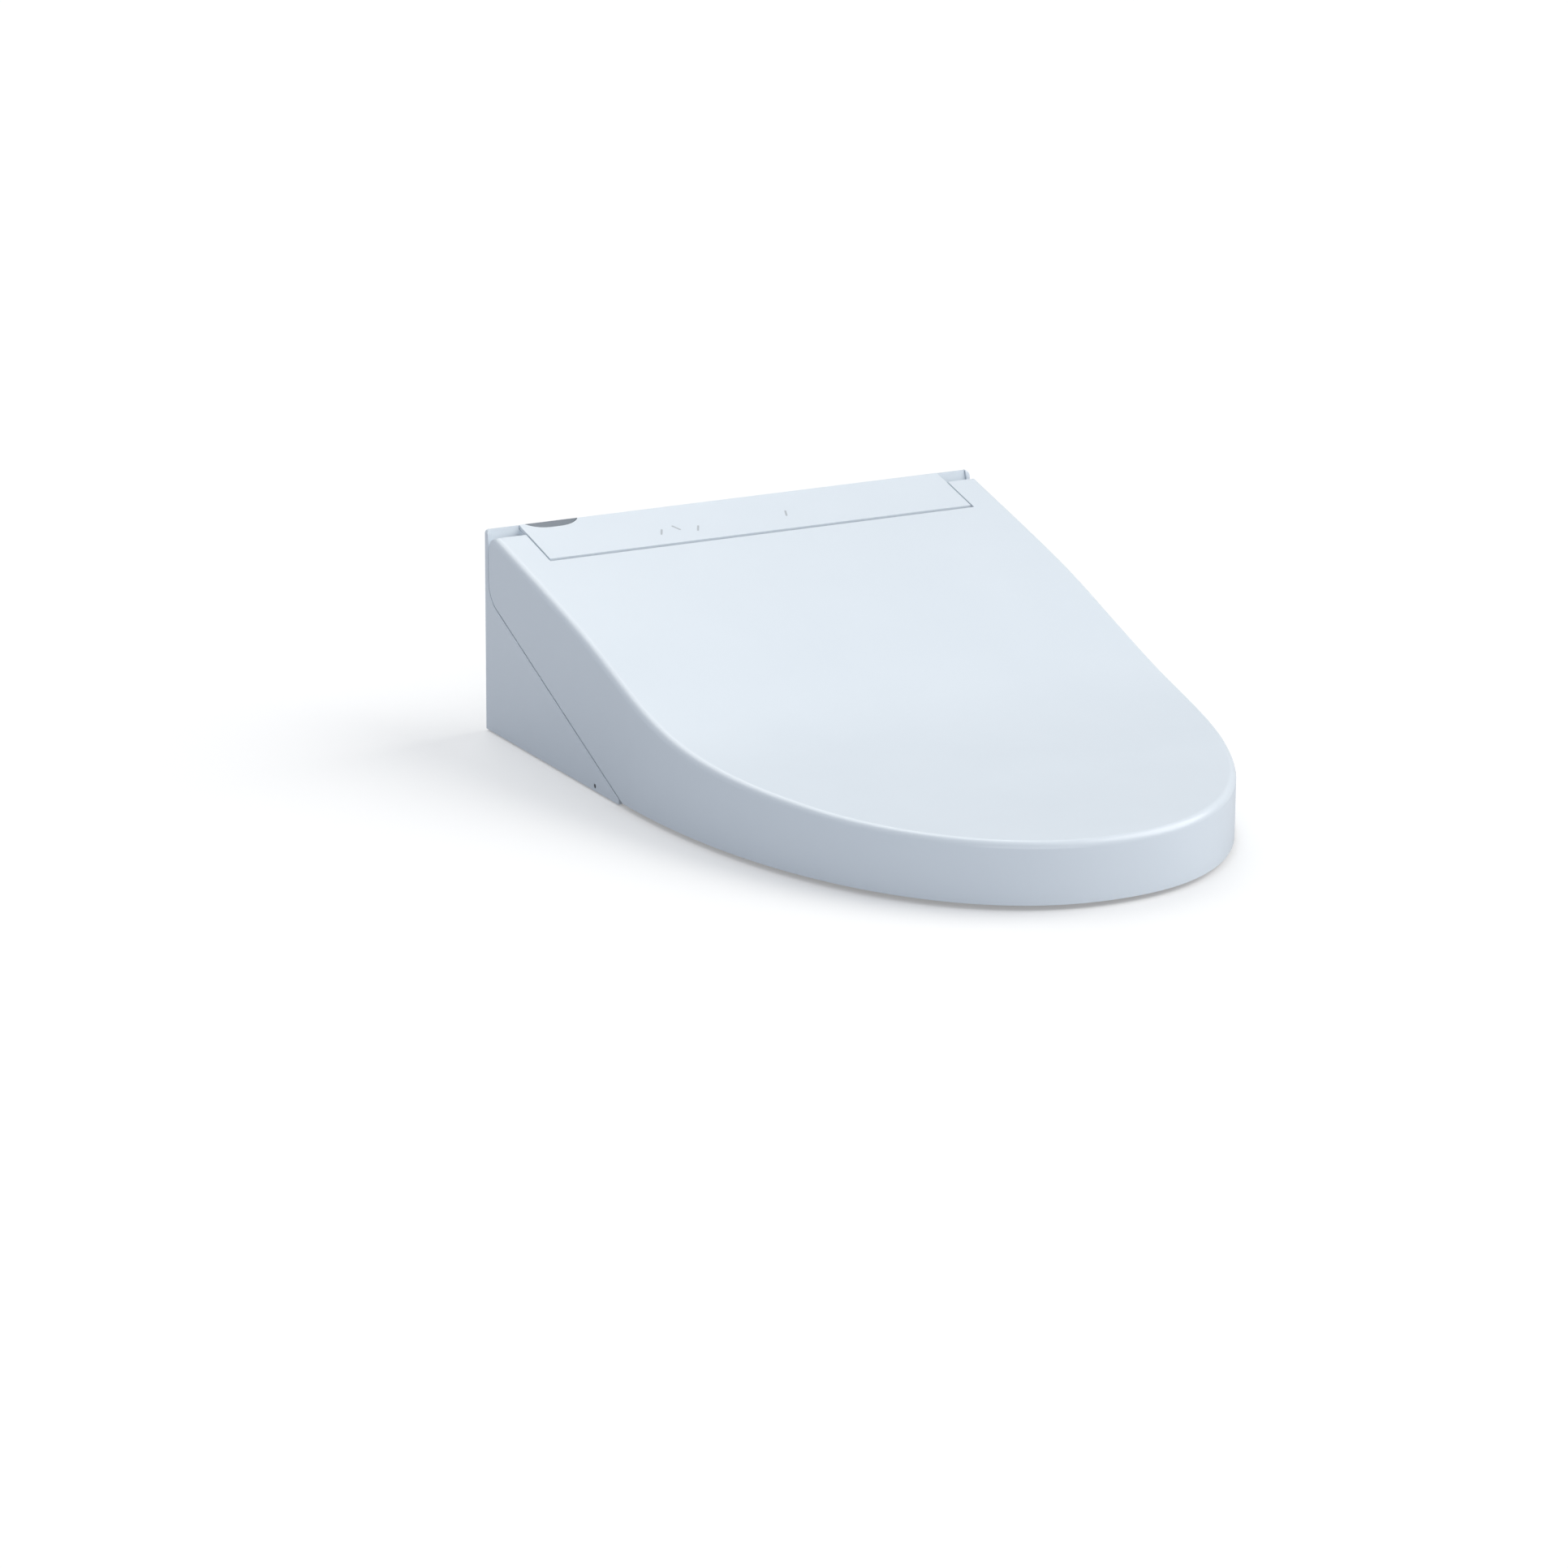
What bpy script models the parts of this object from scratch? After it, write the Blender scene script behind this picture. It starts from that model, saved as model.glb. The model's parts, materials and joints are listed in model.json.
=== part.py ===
"""Electric bidet seat: lid, heated seat ring, main unit with its works, and the mounting plate that
it slides onto.

The frame: +X to the user's right, the front of the seat at -Y, +Z up. The origin is midway between
the two fixing bolts, on the plane of the toilet bowl's rim (Z = 0). Dimensions are in millimetres
and MM turns them into metres.
"""
import math

import bmesh
import bpy
from mathutils import Matrix, Vector

MM = 0.001
GAP = 0.3  # clearance between pieces that touch

# Overall shape
HALF_WIDTH = 191.5
TIP_Y = -475.0  # front of the lid
REAR_Y = 61.0  # back of the main unit
STRAIGHT_Y = -150.0  # the sides are straight behind this line
OUTLINE_POWER = 2.15  # superellipse that rounds the front
LID_WALL = 3.0
LID_BOTTOM = 3.0
LID_FILLET = 5.0
# Height of the lid's top along the length: (y, z), joined by one smooth curve
TOP_LINE = ((-475.0, 44.2), (-342.0, 49.1), (-210.0, 63.7), (-78.0, 106.5), (65.0, 145.0))

# Hinge line of the lid and the seat, parallel to X
HINGE_Y = 42.0
HINGE_Z = 128.0
PIN_RADIUS = 3.5
EAR_RADIUS = 12.5  # round back end of the lid beside the hinge

# Side seam between the lid's skirt and the main unit: a straight diagonal
SEAM_Y = 27.3
SEAM_Z = 83.7
SEAM_SLOPE = 0.4575
SEAM_FILLET = 20.0

# Main unit
UNIT_HALF = 188.0  # behind the side covers
CHEEK_HALF = 166.3  # raised middle of the unit, between the hinge arms
CASE_WALL = 2.5
UNIT_FRONT = -122.0
CASE_SPLIT = 36.0  # joint between the lower and the upper case
FLOOR_Z = 5.2
BASE_Z = 8.0  # what stands on the floor starts here
PANEL_FRONT = 11.0
PANEL_Z = 130.9
PANEL_SLOPE = 0.262
PANEL_THICK = 2.5
PANEL_HALF = 165.8

# Seat ring
RING_INSET = 5.5  # inside the lid's outline
RING_REAR = -127.0
RING_TOP_FRONT = 35.0
RING_TOP_REAR = 46.0
HOLE_HALF = 104.0
HOLE_CENTRE_Y = -292.0
HOLE_FRONT = 122.0
HOLE_REAR = 100.0
ARM_INNER = 167.3
ARM_OUTER = 177.3
LID_EAR_INNER = 178.3

# Spray wand: slides down and forward out of the unit
WAND_ANGLE = math.radians(38.0)
WAND_RADIUS = 6.0
WAND_TIP_Y = -116.0
WAND_TIP_Z = 7.5
WAND_LENGTH = 155.0
PINION_TEETH = 16
GEAR_MODULE = 1.0
PINION_ALONG = 40.0
PINION_ABOVE = 12.0
RACK_INNER = 6.6  # the rack lies beside the wand
RACK_OUTER = 11.0
RACK_START, RACK_END = 24.0, 151.0  # along the wand, from its tip

# Places in the main unit
INLET_X, INLET_Z = -132.0, 22.0  # water inlet, on the back
GLAND_X, GLAND_Z = 132.0, 20.0  # power cord inlet, on the back
DRAIN_X, DRAIN_Y = -40.0, -80.0
BUTTON_Y, BUTTON_Z = 0.0, 24.0  # release button, on the right side
AIR_X = (42.0, 82.0)  # warm air outlet
BLOWER = (62.0, -26.0)
BLOWER_RADIUS = 36.0
FAN_Y, FAN_Z = -48.0, 38.0  # axis of the deodoriser's fan, parallel to X
WINDOW_X = (-162.0, -120.0)  # infrared window, at the back of the top panel
WINDOW_Y = 52.0
BOARD_Z = 112.0
SCREW_X = 177.0
SCREW_Y = (30.0, -40.0)
POST_FOOT = 12.0

# Fixing bolts
BOLT_X = 70.0
DECK_THICK = 15.0  # ceramic that the bolts clamp
PLATE_HALF = 110.0


# ---------------------------------------------------------------- helpers
def new_object(name, bm):
    mesh = bpy.data.meshes.new(name)
    bmesh.ops.recalc_face_normals(bm, faces=bm.faces)
    bm.to_mesh(mesh)
    bm.free()
    body = bpy.data.objects.new(name, mesh)
    bpy.context.scene.collection.objects.link(body)
    return body


def place(axis, a, b, c):
    """The point with coordinate c along the axis and (a, b) across it, in metres."""
    points = {"X": (c, a, b), "Y": (a, c, b), "Z": (a, b, c)}
    return Vector(points[axis]) * MM


def prism(name, axis, outline, low, high, both=False):
    """A flat outline pulled along an axis. Outline: (y, z) for X, (x, z) for Y, (x, y) for Z.
    With both, a second one stands mirrored on the other side of the origin."""
    bm = bmesh.new()
    count = len(outline)
    for a_end, b_end in ((low, high), (-high, -low))[: 2 if both else 1]:
        ends = [[bm.verts.new(place(axis, a, b, c)) for a, b in outline] for c in (a_end, b_end)]
        bm.faces.new(ends[0])
        bm.faces.new(list(reversed(ends[1])))
        for i in range(count):
            j = (i + 1) % count
            bm.faces.new((ends[0][j], ends[0][i], ends[1][i], ends[1][j]))
    return new_object(name, bm)


def box(name, x0, x1, y0, y1, z0, z1):
    return prism(name, "Z", [(x0, y0), (x1, y0), (x1, y1), (x0, y1)], z0, z1)


def circle(a, b, radius, count, start=0.0, turn=2 * math.pi):
    """Points of an arc about (a, b). A full turn leaves out the repeated last point."""
    full = abs(turn) > 2 * math.pi - 1e-6
    steps = count if full else count - 1
    angles = [start + turn * i / steps for i in range(count)]
    return [(a + radius * math.cos(t), b + radius * math.sin(t)) for t in angles]


def cylinder(name, axis, a, b, radius, low, high, count=24, both=False):
    return prism(name, axis, circle(a, b, radius, count), low, high, both)


def tube(name, axis, a, b, outer, inner, low, high, count=24):
    body = cylinder(name, axis, a, b, outer, low, high, count)
    return cut(body, cylinder(f"{name}_bore", axis, a, b, inner, low - 1, high + 1, 20))


def rounded(x0, x1, y0, y1, radius, count=5):
    """A rectangle with round corners."""
    quarter = math.pi / 2
    points = []
    corners = ((x1, y1), (x0, y1), (x0, y0), (x1, y0))
    signs = ((-1, -1), (1, -1), (1, 1), (-1, 1))
    for n, ((x, y), (sx, sy)) in enumerate(zip(corners, signs)):
        points += circle(x + sx * radius, y + sy * radius, radius, count, n * quarter, quarter)
    return points


def combine(body, tool, operation):
    modifier = body.modifiers.new(tool.name, "BOOLEAN")
    modifier.operation = operation
    modifier.object = tool
    tool.hide_render = True
    tool.display_type = "WIRE"
    return body


def cut(body, tool):
    return combine(body, tool, "DIFFERENCE")


def join(body, tool):
    return combine(body, tool, "UNION")


def bevel(body, width, segments=2, angle=40.0):
    modifier = body.modifiers.new("rounded_edges", "BEVEL")
    modifier.width = width * MM
    modifier.segments = segments
    modifier.limit_method = "ANGLE"
    modifier.angle_limit = math.radians(angle)
    return body


def material(name, colour, roughness, metallic=0.0):
    made = bpy.data.materials.get(name)
    if made:
        return made
    made = bpy.data.materials.new(name)
    made.use_nodes = True
    shader = made.node_tree.nodes["Principled BSDF"]
    shader.inputs["Base Color"].default_value = (*colour, 1.0)
    shader.inputs["Roughness"].default_value = roughness
    shader.inputs["Metallic"].default_value = metallic
    return made


def white_plastic():
    return material("white_plastic", (0.80, 0.83, 0.87), 0.22)


def grey_plastic():
    return material("grey_plastic", (0.30, 0.31, 0.33), 0.5)


def dark_plastic():
    return material("dark_plastic", (0.05, 0.05, 0.055), 0.45)


def smoked_window():
    return material("smoked_window", (0.21, 0.24, 0.27), 0.15)


def soft_rubber():
    return material("soft_rubber", (0.55, 0.56, 0.57), 0.8)


def bright_steel():
    return material("bright_steel", (0.62, 0.62, 0.63), 0.3, 1.0)


def green_board():
    return material("green_board", (0.04, 0.20, 0.09), 0.5)


def carbon_foam():
    return material("carbon_foam", (0.03, 0.03, 0.03), 0.9)


def finish(body, look, carrier=None):
    """Give the piece its material, flat and round shading, and its pivot if it moves."""
    body.data.materials.append(look)
    body.data.set_sharp_from_angle(angle=math.radians(35))
    if carrier is not None:
        body.parent = carrier
        body.matrix_parent_inverse = Matrix.Translation(-carrier.location)
    return body


def pivot(name, x, y, z):
    """An empty on a joint's axis."""
    empty = bpy.data.objects.new(name, None)
    empty.location = Vector((x, y, z)) * MM
    bpy.context.scene.collection.objects.link(empty)
    return empty


# ---------------------------------------------------------------- shared outlines
def smooth_curve(points, x):
    """A smooth curve through a few points, with slopes taken from the neighbours."""
    slopes = []
    last = len(points) - 1
    for i in range(len(points)):
        (xa, ya), (xb, yb) = points[max(i - 1, 0)], points[min(i + 1, last)]
        slopes.append((yb - ya) / (xb - xa))
    i = 0
    while i < last - 1 and x > points[i + 1][0]:
        i += 1
    (xa, ya), (xb, yb) = points[i], points[i + 1]
    span = xb - xa
    t = min(max((x - xa) / span, 0.0), 1.0)
    start = (1 + 2 * t) * (1 - t) ** 2 * ya + t * (1 - t) ** 2 * span * slopes[i]
    end = t * t * (3 - 2 * t) * yb + t * t * (t - 1) * span * slopes[i + 1]
    return start + end


def lid_top(y):
    return smooth_curve(TOP_LINE, y)


def blend(x, start, length):
    t = min(max((x - start) / length, 0.0), 1.0)
    return t * t * (3 - 2 * t)


def half_outline(inset, rear, count, sides):
    """The right half of the plan, from the front tip to the rear: a superellipse quarter, then a
    straight side."""
    half = HALF_WIDTH - inset
    long = STRAIGHT_Y - TIP_Y - inset
    points = []
    for i in range(count + 1):
        t = 0.5 * math.pi * i / count
        x = half * math.sin(t) ** (2 / OUTLINE_POWER)
        y = STRAIGHT_Y - long * math.cos(t) ** (2 / OUTLINE_POWER)
        points.append((x, y))
    for i in range(1, sides + 1):
        points.append((half, STRAIGHT_Y + (rear - STRAIGHT_Y) * i / sides))
    return points


def seam_z(y, offset=0.0):
    """Height of the diagonal seam, moved by an offset square to it."""
    return SEAM_Z + SEAM_SLOPE * (y - SEAM_Y) + offset * math.hypot(1, SEAM_SLOPE)


def back_edge(offset):
    """The lid's back edge (y, z) from the diagonal up to the top of the round end, moved by an
    offset away from the lid."""
    radius = EAR_RADIUS + offset
    wall = HINGE_Y + radius
    slope = math.atan(SEAM_SLOPE)
    fillet = SEAM_FILLET + offset
    centre_y = wall - fillet
    centre_z = seam_z(centre_y, -offset) + fillet / math.cos(slope)
    points = circle(centre_y, centre_z, fillet, 6, slope - math.pi / 2, math.pi / 2 - slope)
    points += circle(HINGE_Y, HINGE_Z, radius, 7, 0.0, math.radians(75))
    return points


# ---------------------------------------------------------------- lid
def lid_body(name, inset, drop, bottom, rear, fillet):
    """The lid's full volume: a flat underside, an upright skirt and a top that follows the top
    line, joined by a fillet. Mirrored stations across the width keep every strip of the top flat."""
    half = half_outline(inset, rear, 22, 9)
    steps = 3
    rings = [[(x, y, bottom) for x, y in half]]
    for k in range(steps + 1):
        angle = 0.5 * math.pi * k / steps
        inward = half_outline(inset + fillet * (1 - math.cos(angle)), rear, 22, 9)
        fall = drop + fillet * (1 - math.sin(angle))
        rings.append([(x, y, lid_top(y) - fall) for x, y in inward])
    bm = bmesh.new()
    rows = []
    for ring in rings:
        right = [bm.verts.new(Vector(p) * MM) for p in ring]
        left = [bm.verts.new(Vector((-x, y, z)) * MM) for x, y, z in ring[1:]]
        rows.append((right, [right[0]] + left))
    for (low_r, low_l), (high_r, high_l) in zip(rows, rows[1:]):
        for i in range(len(half) - 1):
            bm.faces.new((low_r[i], low_r[i + 1], high_r[i + 1], high_r[i]))
            bm.faces.new((low_l[i + 1], low_l[i], high_l[i], high_l[i + 1]))
    for side_r, side_l in (rows[0], rows[-1]):
        bm.faces.new((side_r[0], side_r[1], side_l[1]))
        for i in range(1, len(half) - 1):
            bm.faces.new((side_r[i], side_r[i + 1], side_l[i + 1], side_l[i]))
    back = [row[0][-1] for row in rows] + [row[1][-1] for row in reversed(rows)]
    bm.faces.new(back)
    return new_object(name, bm)


def below_seam(offset, low):
    """Everything under the diagonal and behind the lid's back edge, as a closed (y, z) outline."""
    foot_z = LID_BOTTOM
    foot_y = SEAM_Y + (foot_z - seam_z(SEAM_Y, -offset)) / SEAM_SLOPE
    rear = REAR_Y + 20
    top = HINGE_Z + 60
    points = [(foot_y, low), (foot_y, foot_z)] + back_edge(offset)
    return points + [(HINGE_Y + 2, top), (rear, top), (rear, low)]


def ear_outline(inner):
    """The lid's round back end, kept under its sloping top. With an inner radius it is only the
    back wall, which closes the lid behind the seat's hinge eye."""
    radius = EAR_RADIUS - 0.1
    under = radius - 1.5
    if inner == 0.0:
        back = circle(HINGE_Y, HINGE_Z, radius, 8, math.radians(-25), math.radians(83))
        return back + circle(HINGE_Y, HINGE_Z, under, 14, math.radians(78), math.radians(250))
    back = circle(HINGE_Y, HINGE_Z, radius, 4, math.radians(36), math.radians(22))
    top = circle(HINGE_Y, HINGE_Z, under, 2, math.radians(78), math.radians(12))
    inside = circle(HINGE_Y, HINGE_Z, inner, 6, math.radians(90), math.radians(-54))
    return back + top + inside


def make_lid(hinge):
    lid = lid_body("lid", 0.0, 0.0, LID_BOTTOM, REAR_Y, LID_FILLET)
    inner = lid_body("lid_inside", LID_WALL, LID_WALL, LID_BOTTOM - 20, REAR_Y + 20, LID_FILLET - 2)
    cut(lid, inner)
    join(lid, prism("lid_ears", "X", ear_outline(0.0), LID_EAR_INNER, HALF_WIDTH - 1, both=True))
    span = (PANEL_HALF + 1.3, LID_EAR_INNER + 0.5)
    join(lid, prism("lid_back_walls", "X", ear_outline(9.3), *span, both=True))
    cut(lid, prism("lid_back_cut", "X", below_seam(0.0, -40), -220, 220))
    side = PANEL_HALF + 1.1
    cut(lid, box("lid_notch", -side, side, PANEL_FRONT - 1.5, 120, 90, 200))
    span = (LID_EAR_INNER - 2, HALF_WIDTH - 3.5)
    cut(lid, cylinder("lid_pin_holes", "X", HINGE_Y, HINGE_Z, PIN_RADIUS + GAP, *span, both=True))
    finish(lid, white_plastic(), hinge)
    for side, word in ((-1, "left"), (1, "right")):
        x, y = side * 72.0, -424.0
        foot = ring_top(y) + 1.6
        head = lid_top(y) - LID_WALL - GAP - 0.7
        pad = cylinder(f"lid_bumper_{word}", "Z", x, y, 7.0, foot, head, 20)
        finish(bevel(pad, 0.8), soft_rubber(), hinge)


# ---------------------------------------------------------------- seat ring
def ring_top(y):
    return RING_TOP_FRONT + (RING_TOP_REAR - RING_TOP_FRONT) * blend(y, -330, 190)


def ring_bottom(y):
    """The underside is raised at the back, over the wand and the air outlet."""
    return 5.0 + 23.0 * blend(y, -205, 30)


def ring_split(y):
    return ring_bottom(y) + 6.0


def ring_outline():
    half = half_outline(RING_INSET, RING_REAR - 16, 18, 1)
    side = HALF_WIDTH - RING_INSET
    corner = 14.0
    half += circle(side - corner, RING_REAR - corner, corner, 4, 0.0, math.pi / 2)
    half += [(side - corner - 40 * k, RING_REAR) for k in (1, 2, 3, 4)]
    mirrored = [(-x, y) for x, y in reversed(half[1:])]
    return half + mirrored


def hole_point(x, y):
    """The point of the egg-shaped opening that lies in the same direction as (x, y)."""
    angle = math.atan2(y - HOLE_CENTRE_Y, x)
    length = HOLE_REAR if math.sin(angle) > 0 else HOLE_FRONT
    radius = 1 / math.hypot(math.cos(angle) / HOLE_HALF, math.sin(angle) / length)
    return radius * math.cos(angle), HOLE_CENTRE_Y + radius * math.sin(angle)


def ring_loft(name, section):
    """Sweep a closed section round the ring. Section points are (share of the way from the outer
    edge to the opening, height function of y)."""
    bm = bmesh.new()
    loops = []
    for x, y in ring_outline():
        hx, hy = hole_point(x, y)
        loop = []
        for share, height in section:
            px = x + (hx - x) * share
            py = y + (hy - y) * share
            loop.append(bm.verts.new(Vector((px, py, height(py))) * MM))
        loops.append(loop)
    count = len(section)
    for a, b in zip(loops, loops[1:] + loops[:1]):
        for i in range(count):
            j = (i + 1) % count
            bm.faces.new((a[i], a[j], b[j], b[i]))
    return new_object(name, bm)


def below_top(distance):
    return lambda y: ring_top(y) - distance


def above_split(distance):
    return lambda y: ring_split(y) + distance


def arm_outline():
    """The hinge arm (y, z): between the seam and the lid's inside, ending round the hinge pin."""
    eye = 7.4
    start = RING_REAR - 31
    stations = [start + (HINGE_Y - 16 - start) * i / 9 for i in range(10)]
    lower = [(y, max(seam_z(y, 1.6), ring_split(y) + 2.2)) for y in stations]
    under_lid = LID_WALL + 2.0
    upper = [(y, min(lid_top(y) - under_lid, seam_z(y, 22) + 10)) for y in stations]
    upper[0] = (start, ring_top(start) - 1.7)
    end = circle(HINGE_Y, HINGE_Z, eye, 9, math.radians(-60), math.radians(155))
    return lower + end + list(reversed(upper))


def make_seat(hinge):
    section = [
        (0.0, above_split(0.6)),
        (0.0, below_top(8)),
        (0.03, below_top(3)),
        (0.11, below_top(0)),
        (0.75, below_top(1)),
        (0.93, below_top(5)),
        (1.0, below_top(11)),
        (1.0, above_split(0.6)),
        (0.95, above_split(0.6)),
        (0.95, below_top(11.5)),
        (0.88, below_top(8.5)),
        (0.74, below_top(4.5)),
        (0.13, below_top(3.5)),
        (0.05, below_top(8.5)),
        (0.05, above_split(0.6)),
    ]
    shell = ring_loft("seat_upper_shell", section)
    join(shell, prism("seat_arms", "X", arm_outline(), ARM_INNER, ARM_OUTER, both=True))
    span = (ARM_INNER - 2, ARM_OUTER + 2)
    cut(shell, cylinder("seat_pin_holes", "X", HINGE_Y, HINGE_Z, PIN_RADIUS + GAP, *span, both=True))
    finish(shell, white_plastic(), hinge)

    shares = (0.0, 0.05, 0.3, 0.5, 0.7, 0.95, 1.0)
    lower = [(share, ring_bottom) for share in shares]
    lower += [(share, ring_split) for share in reversed(shares)]
    finish(ring_loft("seat_lower_shell", lower), white_plastic(), hinge)
    upper_face, lower_face = below_top(5.6), below_top(6.4)
    sheet = [(0.18, upper_face), (0.68, upper_face), (0.68, lower_face), (0.18, lower_face)]
    finish(ring_loft("seat_heater_sheet", sheet), bright_steel(), hinge)
    for end, x, y in (("front", 84, -418), ("rear", 147, -232)):
        for side, word in ((-1, "left"), (1, "right")):
            name = f"seat_bumper_{end}_{word}"
            foot = cylinder(name, "Z", side * x, y, 11.0, 0.0, ring_bottom(y) - GAP, 20)
            finish(bevel(foot, 1.0), soft_rubber(), hinge)


# ---------------------------------------------------------------- main unit: cases and covers
def panel_top(y):
    return PANEL_Z + PANEL_SLOPE * (y - PANEL_FRONT)


def hump_outline(inset):
    """Side view of the raised middle: a sloping front, a top that follows the lid from below, and
    a flat shelf under the top panel."""
    under_lid = LID_WALL + 3.5 + inset
    shelf = PANEL_THICK + GAP + inset
    front = UNIT_FRONT + inset
    brow_y = -92.0 + inset
    stations = [brow_y + (PANEL_FRONT - 6 - brow_y) * i / 7 for i in range(8)]
    top = [(y, lid_top(y) - under_lid) for y in stations]
    points = [(front, -5), (front, CASE_SPLIT + 4)] + top
    points += [(PANEL_FRONT + 0.6 + inset, lid_top(PANEL_FRONT - 6) - under_lid)]
    points += [(PANEL_FRONT + 0.6 + inset, panel_top(PANEL_FRONT) - shelf)]
    points += [(REAR_Y - inset - 0.3, panel_top(REAR_Y) - shelf), (REAR_Y - inset - 0.3, -5)]
    return points


def shoulder_outline(offset, front, rear, low, crest):
    """Side view of the lower, full-width part: everything under the diagonal seam, and the strip
    behind the lid's round end, whose level top starts at the crest (y, z)."""
    curve = [p for p in back_edge(offset) if p[1] < HINGE_Z + 5]
    points = [(front, low), (front, seam_z(front, -offset))] + curve
    return points + [crest, (rear, crest[1]), (rear, low)]


def case_volume(name, inset):
    """The case's outer volume, or the hollow inside its wall. Outside, the strip behind the lid
    slopes up to the level of the top panel."""
    half = CHEEK_HALF - inset
    wide = UNIT_HALF - inset
    offset, rear = 0.9 + inset, REAR_Y - 0.3 - inset
    crest = (rear - 1.5, panel_top(REAR_Y) - 0.9) if inset == 0.0 else (rear - 0.2, HINGE_Z + 3)
    outline = shoulder_outline(offset, UNIT_FRONT + inset, rear, -5, crest)
    body = prism(name, "X", outline, -wide, wide)
    return join(body, prism(f"{name}_hump", "X", hump_outline(inset), -half, half))


def make_upper_case():
    case = case_volume("upper_case", 0.0)
    cut(case, case_volume("upper_case_inside", CASE_WALL))
    cut(case, box("upper_case_trim", -250, 250, -200, 200, -50, CASE_SPLIT))
    for k, (x, y) in enumerate(((-84, 25), (84, 25), (-84, 47), (84, 47))):
        join(case, cylinder(f"board_post_{k}", "Z", x, y, 3.5, BOARD_Z + 1.9, panel_top(y) - 4, 12))
    y0, y1, under = PANEL_FRONT - 2, REAR_Y + 20, PANEL_THICK + GAP
    bay = [(y0, panel_top(y0) - under), (y1, panel_top(y1) - under), (y1, 200), (y0, 200)]
    cut(case, prism("upper_panel_bay", "X", bay, -PANEL_HALF - 0.5, PANEL_HALF + 0.5))
    for side in (-1, 1):
        for y in SCREW_Y:
            name, top = f"upper_post_{side}_{y:.0f}", seam_z(y) - 4.4
            join(case, cylinder(name, "Z", side * SCREW_X, y, 5.0, POST_FOOT, top, 12))
    join(case, cylinder("upper_bosses", "X", HINGE_Y, HINGE_Z, 6.2, 161.0, CHEEK_HALF - 0.4, both=True))
    span = (150.0, CHEEK_HALF + 2)
    cut(case, cylinder("upper_pin_holes", "X", HINGE_Y, HINGE_Z, PIN_RADIUS + GAP, *span, both=True))
    for side in (-1, 1):
        for y in SCREW_Y:
            name = f"upper_screw_{side}_{y:.0f}"
            cut(case, cylinder(name, "Z", side * SCREW_X, y, 1.9, 0, 48, 12))
    finish(case, white_plastic())


def make_lower_case():
    split = CASE_SPLIT - GAP
    outer = case_volume("lower_case", 0.0)
    cut(outer, case_volume("lower_case_inside", CASE_WALL))
    side, y0, y1 = UNIT_HALF - 1, UNIT_FRONT + 1, REAR_Y - 1.5
    join(outer, box("lower_floor", -side, side, y0, y1, FLOOR_Z, FLOOR_Z + CASE_WALL))
    cut(outer, box("lower_trim_top", -250, 250, -200, 200, split, 300))
    cut(outer, box("lower_trim_bottom", -250, 250, -200, 200, -50, 0.8))
    cut(outer, box("lower_plate_bay", -PLATE_HALF - 1, PLATE_HALF + 1, 40, 100, -10, FLOOR_Z))
    cut(outer, box("lower_wand_window", -24, 24, UNIT_FRONT - 5, -100, -10, 27))
    cut(outer, box("lower_wand_floor", -14, 14, -110, -94, -10, 20))
    cut(outer, box("lower_air_window", *AIR_X, UNIT_FRONT - 5, -117, 8.4, 27))
    for side in (-1, 1):
        for y in SCREW_Y:
            name = f"lower_screw_{side}_{y:.0f}"
            cut(outer, cylinder(name, "Z", side * SCREW_X, y, 2.4, 0, 11, 12))
    cut(outer, cylinder("lower_inlet_hole", "Y", INLET_X, INLET_Z, 11.0, 50, 80))
    cut(outer, cylinder("lower_gland_hole", "Y", GLAND_X, GLAND_Z, 7.3, 50, 80))
    cut(outer, cylinder("lower_drain_hole", "Z", DRAIN_X, DRAIN_Y, 6.3, -5, 12))
    cut(outer, cylinder("lower_button_hole", "X", BUTTON_Y, BUTTON_Z, 7.6, 180, 200))
    finish(outer, white_plastic())


def make_covers():
    """Side covers that lie flush with the lid's skirt, the top panel and the infrared window."""
    crest = (HINGE_Y + EAR_RADIUS + 0.4, panel_top(REAR_Y) - 0.7)
    for side, word in ((-1, "left"), (1, "right")):
        outline = shoulder_outline(0.7, STRAIGHT_Y + 8, REAR_Y, 0.5, crest)
        low, high = sorted((side * (UNIT_HALF + GAP), side * (HALF_WIDTH - 0.3)))
        cover = prism(f"side_cover_{word}", "X", outline, low, high)
        if side > 0:
            cut(cover, cylinder("cover_button_hole", "X", BUTTON_Y, BUTTON_Z, 7.6, 180, 200))
        finish(bevel(cover, 0.6, 1), white_plastic())
    y0, y1 = PANEL_FRONT, REAR_Y
    outline = [(y0, panel_top(y0) - PANEL_THICK), (y0, panel_top(y0) - 0.5), (y0 + 0.5, panel_top(y0 + 0.5))]
    outline += [(y1 - 1.5, panel_top(y1 - 1.5)), (y1, panel_top(y1) - 1.5), (y1, panel_top(y1) - PANEL_THICK)]
    panel = prism("top_panel", "X", outline, -PANEL_HALF, PANEL_HALF)
    slot = box("window_slot", WINDOW_X[0] - GAP, WINDOW_X[1] + GAP, WINDOW_Y - GAP, 90, 120, 160)
    cut(panel, slot)
    finish(panel, white_plastic())
    y0, y1 = WINDOW_Y, REAR_Y
    outline = [(y0, panel_top(y0) - PANEL_THICK), (y0, panel_top(y0)), (y1 - 1.5, panel_top(y1 - 1.5))]
    outline += [(y1, panel_top(y1) - 1.5), (y1, panel_top(y1) - PANEL_THICK)]
    finish(prism("infrared_window", "X", outline, *WINDOW_X), smoked_window())


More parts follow.
